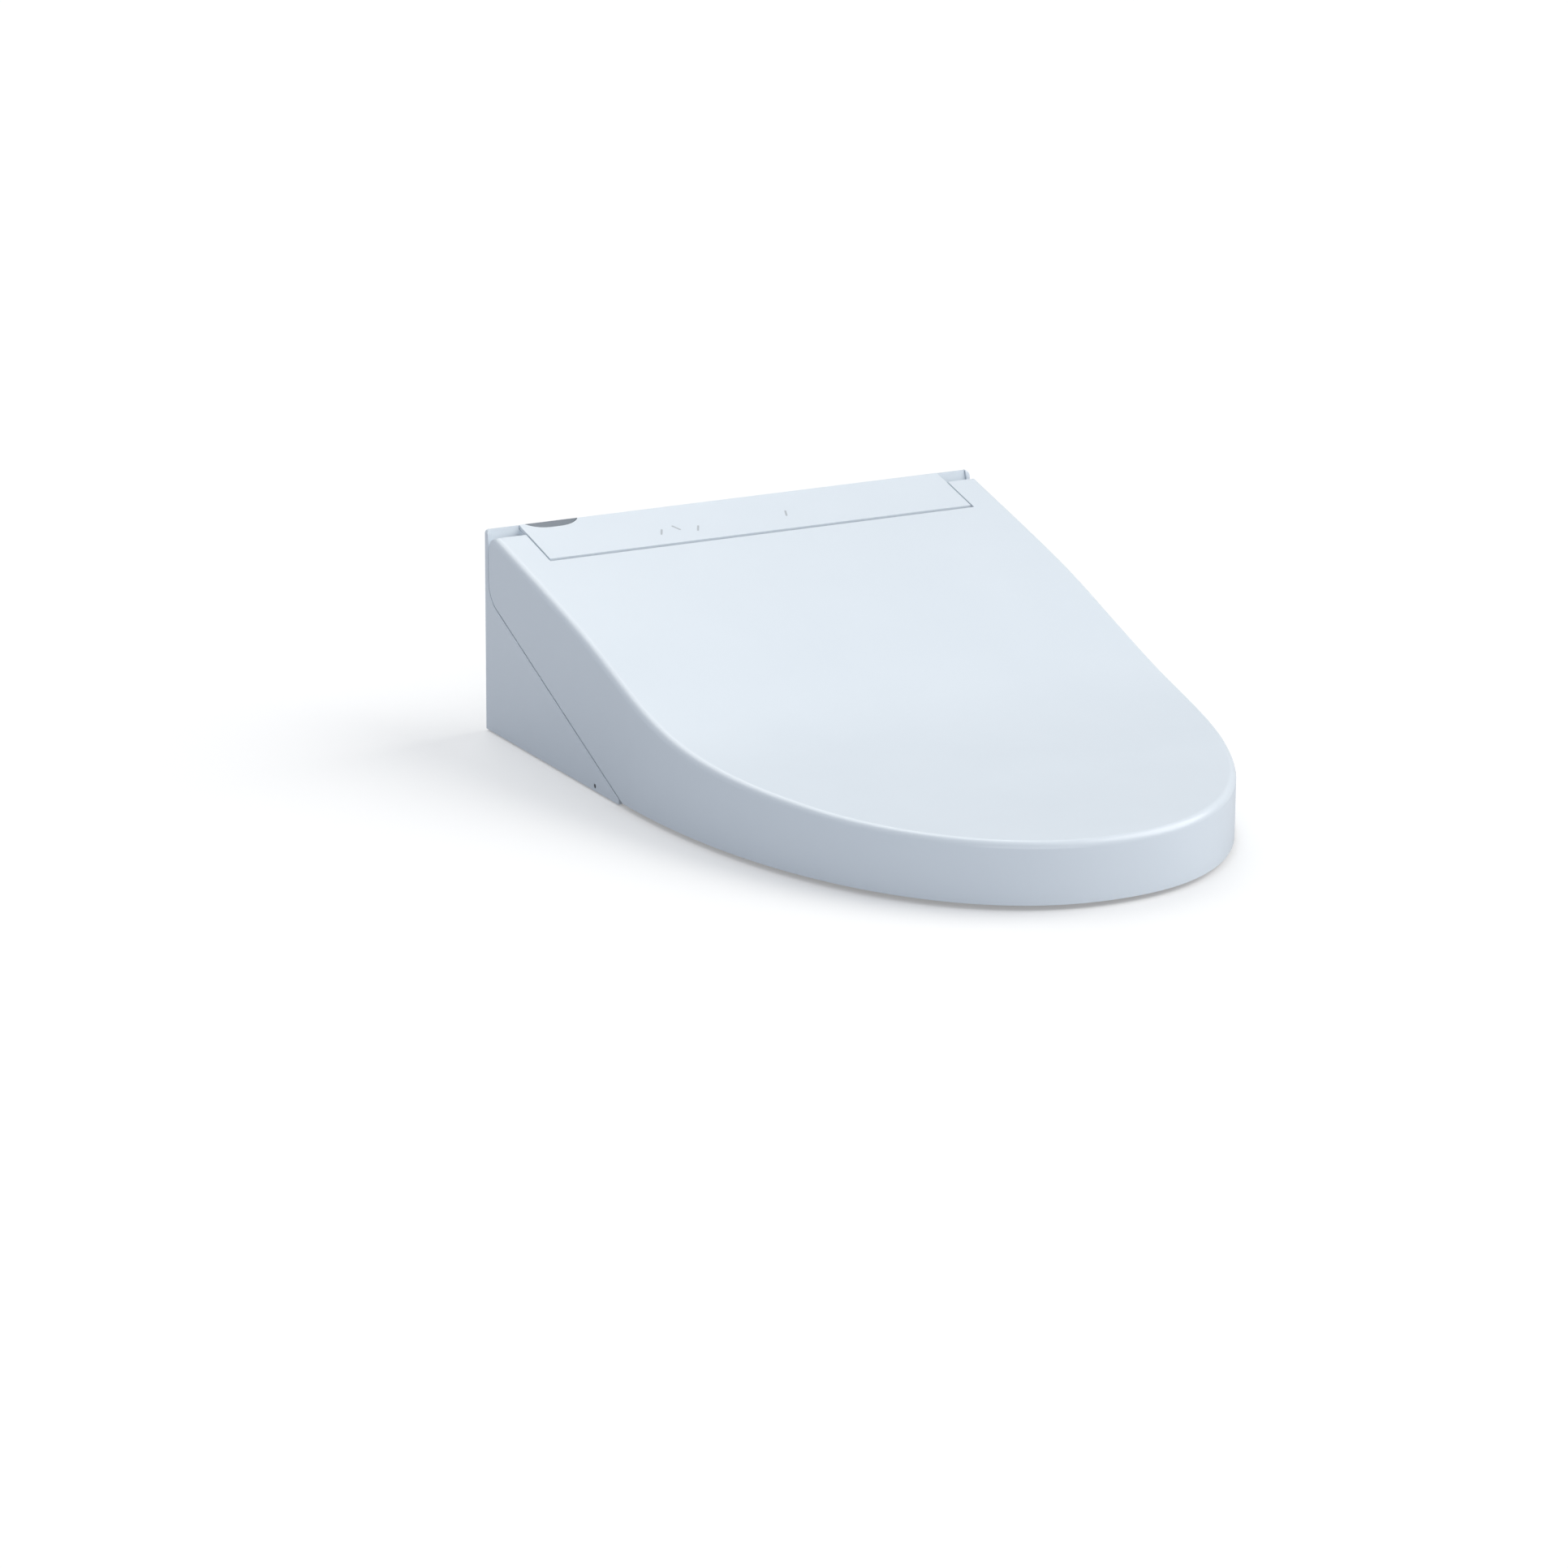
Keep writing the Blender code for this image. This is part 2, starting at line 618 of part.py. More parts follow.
def make_hinges():
    for side, word in ((-1, "left"), (1, "right")):
        low, high = sorted((side * 118.0, side * 160.5))
        damper = cylinder(f"soft_close_damper_{word}", "X", HINGE_Y, HINGE_Z, 5.2, low, high, 20)
        socket = sorted((side * 152.0, side * 164.0))
        cut(damper, cylinder(f"damper_socket_{side}", "X", HINGE_Y, HINGE_Z, PIN_RADIUS + GAP, *socket, 20))
        finish(damper, grey_plastic())
        low, high = sorted((side * 152.5, side * (HALF_WIDTH - 4.0)))
        pin = cylinder(f"hinge_pin_{word}", "X", HINGE_Y, HINGE_Z, PIN_RADIUS, low, high, 20)
        finish(pin, bright_steel())


# ---------------------------------------------------------------- spray wand
def wand_point(x, along, above):
    """A point beside the wand at rest: along its length from the tip, and above its axis."""
    c, s = math.cos(WAND_ANGLE), math.sin(WAND_ANGLE)
    y = WAND_TIP_Y + along * c - above * s
    z = WAND_TIP_Z + along * s + above * c
    return Vector((x, y, z)) * MM


def along_wand(body):
    """Turn a piece modelled with its length on +Y and its top on +Z onto the wand's axis."""
    turn = Matrix.Rotation(WAND_ANGLE, 4, "X")
    move = Matrix.Translation(Vector((0, WAND_TIP_Y, WAND_TIP_Z)) * MM)
    body.data.transform(move @ turn)
    return body


def make_wand(slide):
    wand = along_wand(cylinder("nozzle_wand", "Y", 0, 0, WAND_RADIUS, 14.0, WAND_LENGTH, 20))
    finish(wand, bright_steel(), slide)
    tip = along_wand(cylinder("nozzle_tip", "Y", 0, 0, WAND_RADIUS, 0.0, 14.0 - GAP, 20))
    for k in range(3):
        hole = cylinder(f"spray_hole_{k}", "Z", 0, 4.0 + 2.6 * k, 0.8, 3.0, 9.0, 8)
        cut(tip, along_wand(hole))
    finish(tip, white_plastic(), slide)

    pitch = math.pi * GEAR_MODULE
    pitch_line = PINION_ABOVE - 0.5 * PINION_TEETH * GEAR_MODULE
    base, root, crest = pitch_line - 7.0, pitch_line - 1.2, pitch_line + 0.7
    first = math.ceil((RACK_START + 1 - PINION_ALONG) / pitch)
    last = math.floor((RACK_END - 1 - PINION_ALONG) / pitch)
    outline = [(RACK_START, base), (RACK_END, base), (RACK_END, root)]
    for k in range(last, first - 1, -1):
        centre = PINION_ALONG + k * pitch
        tooth = ((0.85, root), (0.3, crest), (-0.3, crest), (-0.85, root))
        outline += [(centre + along, above) for along, above in tooth]
    outline.append((RACK_START, root))
    rack = prism("nozzle_rack", "X", outline, RACK_INNER, RACK_OUTER)
    finish(along_wand(rack), dark_plastic(), slide)


def make_pinion(axle):
    pitch_radius = 0.5 * PINION_TEETH * GEAR_MODULE
    outer, root = pitch_radius + 0.7, pitch_radius - 1.1
    step = 2 * math.pi / PINION_TEETH
    outline = []
    for k in range(PINION_TEETH):
        angle = (k + 0.5) * step - math.pi / 2
        for radius, half in ((root, 0.115), (outer, 0.04)):
            outline.append((radius, angle - half))
        for radius, half in ((outer, 0.04), (root, 0.115)):
            outline.append((radius, angle + half))
    points = [(r * math.cos(a), r * math.sin(a)) for r, a in outline]
    pinion = prism("nozzle_pinion", "X", points, RACK_INNER + 0.4, RACK_OUTER - 0.4)
    bore = cylinder("pinion_bore", "X", 0, 0, 2.0, RACK_INNER - 2, RACK_OUTER + 2, 12)
    centre = wand_point(0, PINION_ALONG, PINION_ABOVE)
    seat_it = Matrix.Translation(centre) @ Matrix.Rotation(WAND_ANGLE, 4, "X")
    for piece in (pinion, bore):
        piece.data.transform(seat_it)
    cut(pinion, bore)
    finish(pinion, dark_plastic(), axle)


def make_wand_guide():
    wall, play, rim = 2.4, 0.7, 4.0
    left, right, low = -WAND_RADIUS - play, RACK_OUTER + play, -WAND_RADIUS - play
    outline = [(left - wall, low - wall), (right + wall, low - wall), (right + wall, rim), (right, rim)]
    outline += [(right, low), (left, low), (left, rim), (left - wall, rim)]
    guide = along_wand(prism("nozzle_guide", "Y", outline, 20.0, 148.0))
    half = 4.0
    for k, along in enumerate((45.0, 115.0)):
        foot = wand_point(0, along, low - wall) / MM
        top = foot.z - half * math.tan(WAND_ANGLE) + 0.6 * wall
        name, x0, x1 = f"guide_leg_{k}", left - wall, right + wall
        join(guide, box(name, x0, x1, foot.y - half, foot.y + half, BASE_Z, top))
    centre = wand_point(0, PINION_ALONG, PINION_ABOVE) / MM
    plate = [(PINION_ALONG - 10, rim - 2), (PINION_ALONG + 10, rim - 2)]
    plate += [(PINION_ALONG + 10, PINION_ABOVE + 8), (PINION_ALONG - 10, PINION_ABOVE + 8)]
    join(guide, along_wand(prism("motor_plate", "X", plate, right + 0.1, right + wall - 0.1)))
    cut(guide, cylinder("motor_plate_hole", "X", centre.y, centre.z, 2.2, right - 1, right + wall + 1, 12))
    finish(guide, grey_plastic())
    face = right + wall + GAP
    motor = cylinder("nozzle_motor", "X", centre.y, centre.z, 10.5, face, face + 20, 20)
    join(motor, cylinder("motor_shaft", "X", centre.y, centre.z, 1.6, RACK_INNER, RACK_OUTER + 7, 12))
    finish(motor, bright_steel())


def make_flap(name, x0, x1, z0, z1, hinge):
    """A small door in the unit's front wall, hung from its top edge."""
    y = UNIT_FRONT + 1.25
    flap = box(name, x0, x1, y - 1.0, y + 1.0, z0, z1)
    finish(flap, white_plastic(), hinge)


# ---------------------------------------------------------------- water, air and electrics
def make_water():
    nipple = cylinder("water_inlet", "Y", INLET_X, INLET_Z, 10.0, 30.0, REAR_Y - 0.5, 24)
    cut(nipple, cylinder("inlet_bore", "Y", INLET_X, INLET_Z, 7.0, 34.0, REAR_Y + 5, 24))
    finish(nipple, bright_steel())
    strainer = cylinder("inlet_strainer", "Y", INLET_X, INLET_Z, 6.4, 36.0, 52.0, 16)
    finish(strainer, dark_plastic())
    valve = box("solenoid_valve", INLET_X - 16, INLET_X + 16, 2, 29.7, BASE_Z, 40)
    join(valve, cylinder("solenoid_coil", "Z", INLET_X, 16, 11, 38, 62, 20))
    finish(valve, dark_plastic())
    regulator = cylinder("flow_valve", "Y", -98, 22, 8.0, -6, 14, 20)
    join(regulator, box("flow_valve_foot", -103, -93, -3, 11, BASE_Z, 20))
    finish(regulator, grey_plastic())
    make_hose("inlet_hose", [(-115.4, 18, 30), (-105, 18, 30), (-98, 26, 26), (-98, 22, 22), (-98, 14.6, 22)])
    make_hose("tank_hose", [(-98, -6.6, 22), (-98, -20, 22), (-98, -36, 28), (-88.8, -36, 28)])
    tank = prism("water_heater_tank", "Z", rounded(-88, -18, -72, -20, 10), BASE_Z, 66.0)
    finish(bevel(tank, 3.0, 2), grey_plastic())
    plug = cylinder("drain_plug", "Z", DRAIN_X, DRAIN_Y, 6.0, 1.6, 9.6, 18)
    finish(plug, grey_plastic())


def smooth_route(points, steps=4):
    """Points of a smooth curve that passes through the given ones."""
    route = []
    last = len(points) - 1
    for i in range(last):
        a, b = Vector(points[max(i - 1, 0)]), Vector(points[i])
        c, d = Vector(points[i + 1]), Vector(points[min(i + 2, last)])
        for k in range(steps):
            t = k / steps
            pull = (2 * b - 2 * c + (c - a) / 2 + (d - b) / 2) * t**3
            bend = (3 * c - 3 * b - (c - a) - (d - b) / 2) * t**2
            route.append(b + (c - a) / 2 * t + bend + pull)
    return route + [Vector(points[last])]


def make_hose(name, points, radius=3.0):
    curve = bpy.data.curves.new(name, "CURVE")
    curve.dimensions = "3D"
    curve.bevel_depth = radius * MM
    curve.bevel_resolution = 2
    curve.use_fill_caps = True
    route = smooth_route(points)
    spline = curve.splines.new("POLY")
    spline.points.add(len(route) - 1)
    for point, spot in zip(spline.points, route):
        point.co = (*(spot * MM), 1.0)
    hose = bpy.data.objects.new(name, curve)
    bpy.context.scene.collection.objects.link(hose)
    curve.materials.append(soft_rubber())


def make_air(impeller_axle, fan_axle):
    x, y = BLOWER
    inside = BLOWER_RADIUS - 2.5
    housing = cylinder("dryer_housing", "Z", x, y, BLOWER_RADIUS, BASE_Z, 46.0, 32)
    duct = box("dryer_duct_outside", AIR_X[0] + 1, AIR_X[1] - 1, -118.6, y, BASE_Z, 30.0)
    join(housing, duct)
    cut(housing, cylinder("dryer_inside", "Z", x, y, inside, 11.5, 60.0, 32))
    cut(housing, box("dryer_duct_inside", AIR_X[0] + 3.5, AIR_X[1] - 3.5, -130, y, 11.5, 27.5))
    finish(housing, white_plastic())
    wheel = cylinder("dryer_impeller", "Z", x, y, 8.0, 14.0, 36.0, 18)
    centre = Matrix.Translation(Vector((x, y, 0)) * MM)
    for k in range(12):
        blade = box(f"blade_{k}", 6.0, 27.0, -0.8, 0.8, 14.0, 34.0)
        blade.data.transform(centre @ Matrix.Rotation(k * math.pi / 6, 4, "Z"))
        join(wheel, blade)
    join(wheel, cylinder("impeller_disc", "Z", x, y, 28.0, 13.0, 14.6, 24))
    finish(wheel, dark_plastic(), impeller_axle)
    motor = cylinder("dryer_motor", "Z", x, y, BLOWER_RADIUS, 46.3, 48.8, 32)
    join(motor, cylinder("dryer_motor_can", "Z", x, y, 14.0, 48.0, 72.0, 20))
    finish(motor, bright_steel())
    heater = box("dryer_heater", AIR_X[0] + 4.5, AIR_X[1] - 4.5, -100, -76, 12.2, 26.8)
    for k in range(4):
        left = AIR_X[0] + 8 + 7 * k
        cut(heater, box(f"heater_slot_{k}", left, left + 3.5, -110, -70, 15, 24))
    finish(heater, bright_steel())

    case = cylinder("deodoriser_housing", "X", FAN_Y, FAN_Z, 24.0, -150.0, -104.0, 28)
    join(case, box("deodoriser_foot", -145, -109, FAN_Y - 12, FAN_Y + 12, BASE_Z, 24))
    cut(case, cylinder("deodoriser_inside", "X", FAN_Y, FAN_Z, 21.5, -160.0, -90.0, 28))
    finish(case, white_plastic())
    rotor = cylinder("deodoriser_fan", "X", FAN_Y, FAN_Z, 6.0, -146, -132, 16)
    centre = Matrix.Translation(Vector((0, FAN_Y, FAN_Z)) * MM)
    for k in range(7):
        blade = box(f"rotor_blade_{k}", -144, -134, -0.7, 0.7, 4.0, 19.5)
        blade.data.transform(centre @ Matrix.Rotation(k * 2 * math.pi / 7, 4, "X"))
        join(rotor, blade)
    finish(rotor, dark_plastic(), fan_axle)
    carbon = cylinder("carbon_filter", "X", FAN_Y, FAN_Z, 21.0, -126, -106, 28)
    finish(carbon, carbon_foam())


def make_electrics():
    board = box("control_board", -90, 90, 20, 52, BOARD_Z, BOARD_Z + 1.6)
    for k, (x0, x1) in enumerate(((-60, -40), (-20, 15), (40, 56))):
        join(board, box(f"chip_{k}", x0, x1, 26, 44, BOARD_Z + 1, BOARD_Z + 5))
    finish(board, green_board())
    power = box("power_board", 112, 113.6, -90, 10, BASE_Z, 70)
    for k, (y0, y1) in enumerate(((-80, -56), (-46, -20), (-12, 4))):
        join(power, box(f"power_part_{k}", 113, 128 - 4 * k, y0, y1, 20, 48))
    finish(power, green_board())
    gland = cylinder("cord_gland", "Y", GLAND_X, GLAND_Z, 10.0, 50.0, 57.9, 24)
    join(gland, cylinder("gland_neck", "Y", GLAND_X, GLAND_Z, 7.0, 55.0, REAR_Y - 0.4, 24))
    cut(gland, cylinder("gland_bore", "Y", GLAND_X, GLAND_Z, 4.0, 40, 80, 16))
    finish(gland, dark_plastic())


# ---------------------------------------------------------------- fixings
def make_button(slide):
    button = cylinder("release_button", "X", BUTTON_Y, BUTTON_Z, 7.0, 172.0, HALF_WIDTH - 0.3, 24)
    join(button, cylinder("button_collar", "X", BUTTON_Y, BUTTON_Z, 9.5, 170.0, 184.0, 24))
    finish(bevel(button, 0.6), white_plastic(), slide)


def make_screws():
    for side, word in ((-1, "left"), (1, "right")):
        for y, place_word in zip(SCREW_Y, ("rear", "front")):
            x = side * SCREW_X
            screw = cylinder(f"case_screw_{place_word}_{word}", "Z", x, y, 1.6, 3.4, 46.0, 12)
            join(screw, cylinder(f"screw_head_{word}_{place_word}", "Z", x, y, 3.8, 2.2, 4.9, 16))
            finish(screw, bright_steel())


def make_mounting():
    """The plate that stays on the bowl, and its two bolts with rubber bushes and nuts below."""
    plate = prism("mounting_plate", "Z", rounded(-PLATE_HALF, PLATE_HALF, -34, 46, 8), 0.0, 3.6)
    for side in (-1, 1):
        x = side * BOLT_X
        cut(plate, prism(f"bolt_slot_{side}", "Z", rounded(x - 14, x + 14, -4.4, 4.4, 4.3), -5, 10))
    finish(plate, grey_plastic())
    for side, word in ((-1, "left"), (1, "right")):
        x = side * BOLT_X
        bolt = cylinder(f"fixing_bolt_{word}", "Z", x, 0, 4.0, -62.0, 4.0, 16)
        join(bolt, cylinder(f"bolt_head_{word}", "Z", x, 0, 7.5, 3.9, 4.9, 20))
        finish(bolt, bright_steel())
        bush = tube(f"rubber_bush_{word}", "Z", x, 0, 12.0, 4.3, -DECK_THICK - 14, -DECK_THICK, 20)
        finish(bush, soft_rubber())
        nut = tube(f"fixing_nut_{word}", "Z", x, 0, 10.0, 4.3, -DECK_THICK - 28, -DECK_THICK - 14 - GAP, 6)
        finish(nut, grey_plastic())


def main():
    for old in list(bpy.data.objects):
        bpy.data.objects.remove(old, do_unlink=True)
    hinge = pivot("hinge_axis", 0, HINGE_Y, HINGE_Z)
    make_lid(hinge)
    make_seat(hinge)
    make_upper_case()
    make_lower_case()
    make_covers()
    make_hinges()
    make_wand(pivot("wand_axis", 0, WAND_TIP_Y, WAND_TIP_Z))
    centre = wand_point(0, PINION_ALONG, PINION_ABOVE) / MM
    make_pinion(pivot("pinion_axis", 0, centre.y, centre.z))
    make_wand_guide()
    shutter_hinge = pivot("shutter_axis", 0, UNIT_FRONT + 1.25, 25.5)
    make_flap("nozzle_shutter", -23.4, 23.4, 13.2, 26.4, shutter_hinge)
    air_hinge = pivot("air_flap_axis", 0, UNIT_FRONT + 1.25, 25.5)
    make_flap("air_flap", AIR_X[0] + 0.6, AIR_X[1] - 0.6, 9.0, 26.4, air_hinge)
    make_water()
    make_air(pivot("impeller_axis", *BLOWER, 24), pivot("fan_axis", -139, FAN_Y, FAN_Z))
    make_electrics()
    make_button(pivot("button_axis", 180, BUTTON_Y, BUTTON_Z))
    make_screws()
    make_mounting()


main()
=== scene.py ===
import json
import math

import bmesh
import bpy
from mathutils import Matrix, Vector


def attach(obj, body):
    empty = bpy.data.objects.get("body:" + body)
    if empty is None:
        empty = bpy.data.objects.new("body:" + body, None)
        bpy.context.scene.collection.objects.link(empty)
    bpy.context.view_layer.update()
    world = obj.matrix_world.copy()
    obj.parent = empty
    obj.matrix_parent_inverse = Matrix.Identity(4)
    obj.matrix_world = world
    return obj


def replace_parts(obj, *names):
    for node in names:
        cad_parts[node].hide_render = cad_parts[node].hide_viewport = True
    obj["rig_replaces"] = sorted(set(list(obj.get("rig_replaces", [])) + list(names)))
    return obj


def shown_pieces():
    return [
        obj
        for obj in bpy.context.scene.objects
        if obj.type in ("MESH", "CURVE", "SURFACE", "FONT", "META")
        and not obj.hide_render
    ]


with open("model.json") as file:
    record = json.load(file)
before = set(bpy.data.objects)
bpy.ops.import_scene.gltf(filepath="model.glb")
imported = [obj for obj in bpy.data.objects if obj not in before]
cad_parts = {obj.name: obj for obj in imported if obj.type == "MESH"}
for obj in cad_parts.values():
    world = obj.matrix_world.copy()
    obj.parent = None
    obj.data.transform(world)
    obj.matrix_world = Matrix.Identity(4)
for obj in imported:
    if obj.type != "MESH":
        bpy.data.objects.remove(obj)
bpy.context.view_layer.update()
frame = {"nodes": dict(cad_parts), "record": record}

MM = 0.001
GAP = 0.3  # between pieces that touch or pass each other
QUARTER = math.pi / 2
MERGE_DISTANCE = 0.01 * MM  # corners this close after a cut are one corner

# The same shapes as the CAD parts, drawn finer
HALF_WIDTH, TIP_Y, REAR_Y, STRAIGHT_Y, OUTLINE_POWER = 191.5, -475.0, 61.0, -150.0, 2.15
LID_WALL, LID_BOTTOM, LID_FILLET = 3.0, 3.0, 5.0
TOP_LINE = ((-475.0, 44.2), (-342.0, 49.1), (-210.0, 63.7), (-78.0, 106.5), (65.0, 145.0))
HINGE_Y, HINGE_Z, PIN_RADIUS, EAR_RADIUS = 42.0, 128.0, 3.5, 12.5
SEAM_Y, SEAM_Z, SEAM_SLOPE, SEAM_FILLET = 27.3, 83.7, 0.4575, 20.0
UNIT_HALF, CHEEK_HALF, CASE_WALL, UNIT_FRONT, CASE_SPLIT = 188.0, 166.3, 2.5, -122.0, 36.0
FLOOR_Z, PANEL_FRONT, PANEL_Z, PANEL_SLOPE = 5.2, 11.0, 130.9, 0.262
PANEL_THICK, PANEL_HALF = 2.5, 165.8
RING_INSET, RING_REAR, RING_TOP_FRONT, RING_TOP_REAR = 5.5, -127.0, 35.0, 46.0
HOLE_HALF, HOLE_CENTRE_Y, HOLE_FRONT, HOLE_REAR = 104.0, -292.0, 122.0, 100.0
ARM_INNER, ARM_OUTER, LID_EAR_INNER = 167.3, 177.3, 178.3
WAND_ANGLE, WAND_RADIUS, WAND_LENGTH = math.radians(38.0), 6.0, 155.0
WAND_TIP_Y, WAND_TIP_Z = -116.0, 7.5
INLET_X, INLET_Z, GLAND_X, GLAND_Z = -132.0, 22.0, 132.0, 20.0
DRAIN_X, DRAIN_Y, BUTTON_Y, BUTTON_Z = -40.0, -80.0, 0.0, 24.0
AIR_X = (42.0, 82.0)
WINDOW_X, WINDOW_Y, BOARD_Z = (-162.0, -120.0), 52.0, 112.0
SCREW_X, SCREW_Y = 177.0, (30.0, -40.0)
BOLT_X, DECK_THICK, PLATE_HALF = 70.0, 15.0, 110.0

COVER_FACE = HALF_WIDTH - GAP  # the outer face of the side covers
BUTTON_HOLE_RADIUS = 7.6
BOARD_POSTS = ((-84, 25), (84, 25), (-84, 47), (84, 47))  # (x, y)
POST_RADIUS = 5.0  # of the posts that the case screws bite into
DOOR_Y, DOOR_TOP = UNIT_FRONT + 1.25, 26.4
BOLT_RADIUS, BOLT_BORE_RADIUS, BUSH_LENGTH, NUT_LENGTH = 4.0, 4.35, 14.0, 14.0

# Details that only the surface shows
SEAM_GAP = 1.9  # between the lid's back edge and the side covers
PANEL_GAP = 3.0  # between the lid and the front of the top panel
SHOULDER_RADIUS = 3.0  # the strip's outer top corners
# Centre of the small hole in each side cover, and radius of the dark disc of painted shade set in it
COVER_HOLE_Y, COVER_HOLE_Z, COVER_SHADE_DISC_RADIUS = -107.0, 4.0, 1.5
# x, y and turn in degrees of the bars that stand for the print on the panel
PANEL_MARKS = ((-72.0, 27.0, 62.0), (-59.0, 30.0, 118.0), (-44.0, 26.0, 62.0), (28.0, 31.0, 70.0))

# Floor and light
STAGE_Z = -0.0006  # metres: just under the bowl's rim plane
STAGE_SIZE = 30.0
PAPER_WHITE = 0.985
FLOOR_BOUNCE = (0.53, 0.545, 0.58)  # the floor's colour as the object's light sees it
FLOOR_GLOW = 0.28  # share of the floor's white that no shadow darkens
AIR_COLOUR = (0.90, 0.95, 1.04)
AIR_LIGHT = 0.44
LIGHTS = (  # name, direction it comes from, strength, softness in degrees, colour
    ("key_light", (0.42, -0.14, 0.36), 1.80, 55.0, (1.0, 0.980, 0.935)),
    ("back_light", (0.0, 0.22, 0.28), 1.00, 50.0, (1.0, 0.985, 0.945)),
    ("front_fill", (-0.38, -1.0, -0.06), 1.32, 60.0, (0.99, 0.995, 1.0)),
)

# The photograph's viewpoint: degrees of azimuth, elevation and roll, then metres and millimetres
CAMERA_ANGLES = (-28.468, 16.857, 0.405)
CAMERA_PLACE = (-1.9033, -3.5307, 1.1656)
CAMERA_LENS, CAMERA_SENSOR = 136.9, 36.0


# ---------------------------------------------------------------- geometry helpers
def new_object(name, bm):
    mesh = bpy.data.meshes.new(name)
    bmesh.ops.recalc_face_normals(bm, faces=bm.faces)
    bm.to_mesh(mesh)
    bm.free()
    body = bpy.data.objects.new(name, mesh)
    bpy.context.scene.collection.objects.link(body)
    return body


def place(axis, a, b, c):
    """The point with coordinate c along the axis and (a, b) across it, in metres."""
    return Vector({"X": (c, a, b), "Y": (a, c, b), "Z": (a, b, c)}[axis]) * MM


def prism(name, axis, outline, low, high, both=False):
    """A flat outline pulled along an axis; with both, a second one mirrored across the origin."""
    bm = bmesh.new()
    count = len(outline)
    for start, stop in ((low, high), (-high, -low))[: 2 if both else 1]:
        ends = [[bm.verts.new(place(axis, a, b, c)) for a, b in outline] for c in (start, stop)]
        bm.faces.new(ends[0])
        bm.faces.new(list(reversed(ends[1])))
        for i in range(count):
            j = (i + 1) % count
            bm.faces.new((ends[0][j], ends[0][i], ends[1][i], ends[1][j]))
    return new_object(name, bm)


def box(name, x0, x1, y0, y1, z0, z1):
    return prism(name, "Z", [(x0, y0), (x1, y0), (x1, y1), (x0, y1)], z0, z1)


def circle(a, b, radius, count, start=0.0, turn=2 * math.pi):
    """Points round a full circle, or along an arc with both of its ends."""
    full = abs(turn) > 2 * math.pi - 1e-6
    steps = count if full else count - 1
    angles = [start + turn * i / steps for i in range(count)]
    return [(a + radius * math.cos(t), b + radius * math.sin(t)) for t in angles]


def cylinder(name, axis, a, b, radius, low, high, count=48, both=False):
    return prism(name, axis, circle(a, b, radius, count), low, high, both)


def rounded(x0, x1, y0, y1, radius, count=10):
    """The outline of a rectangle with round corners."""
    points = []
    corners = ((x1, y1), (x0, y1), (x0, y0), (x1, y0))
    signs = ((-1, -1), (1, -1), (1, 1), (-1, 1))
    for n, ((x, y), (sx, sy)) in enumerate(zip(corners, signs)):
        points += circle(x + sx * radius, y + sy * radius, radius, count, n * QUARTER, QUARTER)
    return points


def lathe(name, profile, count=48, thread=None):
    """A turned piece about Z. Profile: (radius, z) from one end of the axis to the other. With
    thread (low, high, pitch, depth) the surface between those heights gets a screw thread."""
    bm = bmesh.new()
    rings = []
    for radius, z in profile:
        ring = []
        for k in range(count):
            r = radius
            if thread and thread[0] <= z <= thread[1]:
                phase = (z / thread[2] - k / count) % 1.0
                r -= thread[3] * min(1.0, 2.2 * abs(2 * phase - 1))
            angle = 2 * math.pi * k / count
            ring.append(bm.verts.new(Vector((r * math.cos(angle), r * math.sin(angle), z)) * MM))
        rings.append(ring)
    for low, high in zip(rings, rings[1:]):
        for k in range(count):
            j = (k + 1) % count
            bm.faces.new((low[k], low[j], high[j], high[k]))
    bm.faces.new(list(reversed(rings[0])))
    bm.faces.new(rings[-1])
    return new_object(name, bm)


def screwed(low, high, radius, pitch, depth):
    """A profile with enough rings for a thread, and its thread setting."""
    count = int((high - low) / pitch * 8)
    profile = [(radius, low + (high - low) * i / count) for i in range(count + 1)]
    return profile, (low + pitch / 2, high - pitch / 2, pitch, depth)


def moved(body, matrix):
    body.data.transform(matrix)
    return body


def shift(x, y, z):
    return Matrix.Translation(Vector((x, y, z)) * MM)


def combine(body, tool, operation):
    modifier = body.modifiers.new(tool.name, "BOOLEAN")
    modifier.operation = operation
    modifier.object = tool
    return body


def cut(body, tool):
    return combine(body, tool, "DIFFERENCE")


def join(body, tool):
    return combine(body, tool, "UNION")


def tools_of(body):
    """All the shapes that cut or join a body, and those that cut or join them."""
    found = []
    for modifier in body.modifiers:
        if modifier.type == "BOOLEAN":
            found += [modifier.object] + tools_of(modifier.object)
    return found


def baked(body):
    """Work the cuts and joins into the mesh, and delete the shapes that made them."""
    graph = bpy.context.evaluated_depsgraph_get()
    mesh = bpy.data.meshes.new_from_object(body.evaluated_get(graph))
    tools = tools_of(body)
    body.modifiers.clear()
    body.data = mesh
    for tool in tools:
        bpy.data.objects.remove(tool, do_unlink=True)
    bm = bmesh.new()
    bm.from_mesh(mesh)
    bmesh.ops.remove_doubles(bm, verts=bm.verts, dist=MERGE_DISTANCE)
    bmesh.ops.dissolve_degenerate(bm, edges=bm.edges, dist=MERGE_DISTANCE)
    bm.to_mesh(mesh)
    bm.free()
    return body


def soften(body, width, segments=3):
    """Round every edge sharper than 35 degrees."""
    modifier = body.modifiers.new("rounded_edges", "BEVEL")
    modifier.width = width * MM
    modifier.segments = segments
    modifier.limit_method = "ANGLE"
    modifier.angle_limit = math.radians(35.0)
    modifier.miter_outer = "MITER_ARC"
    return body


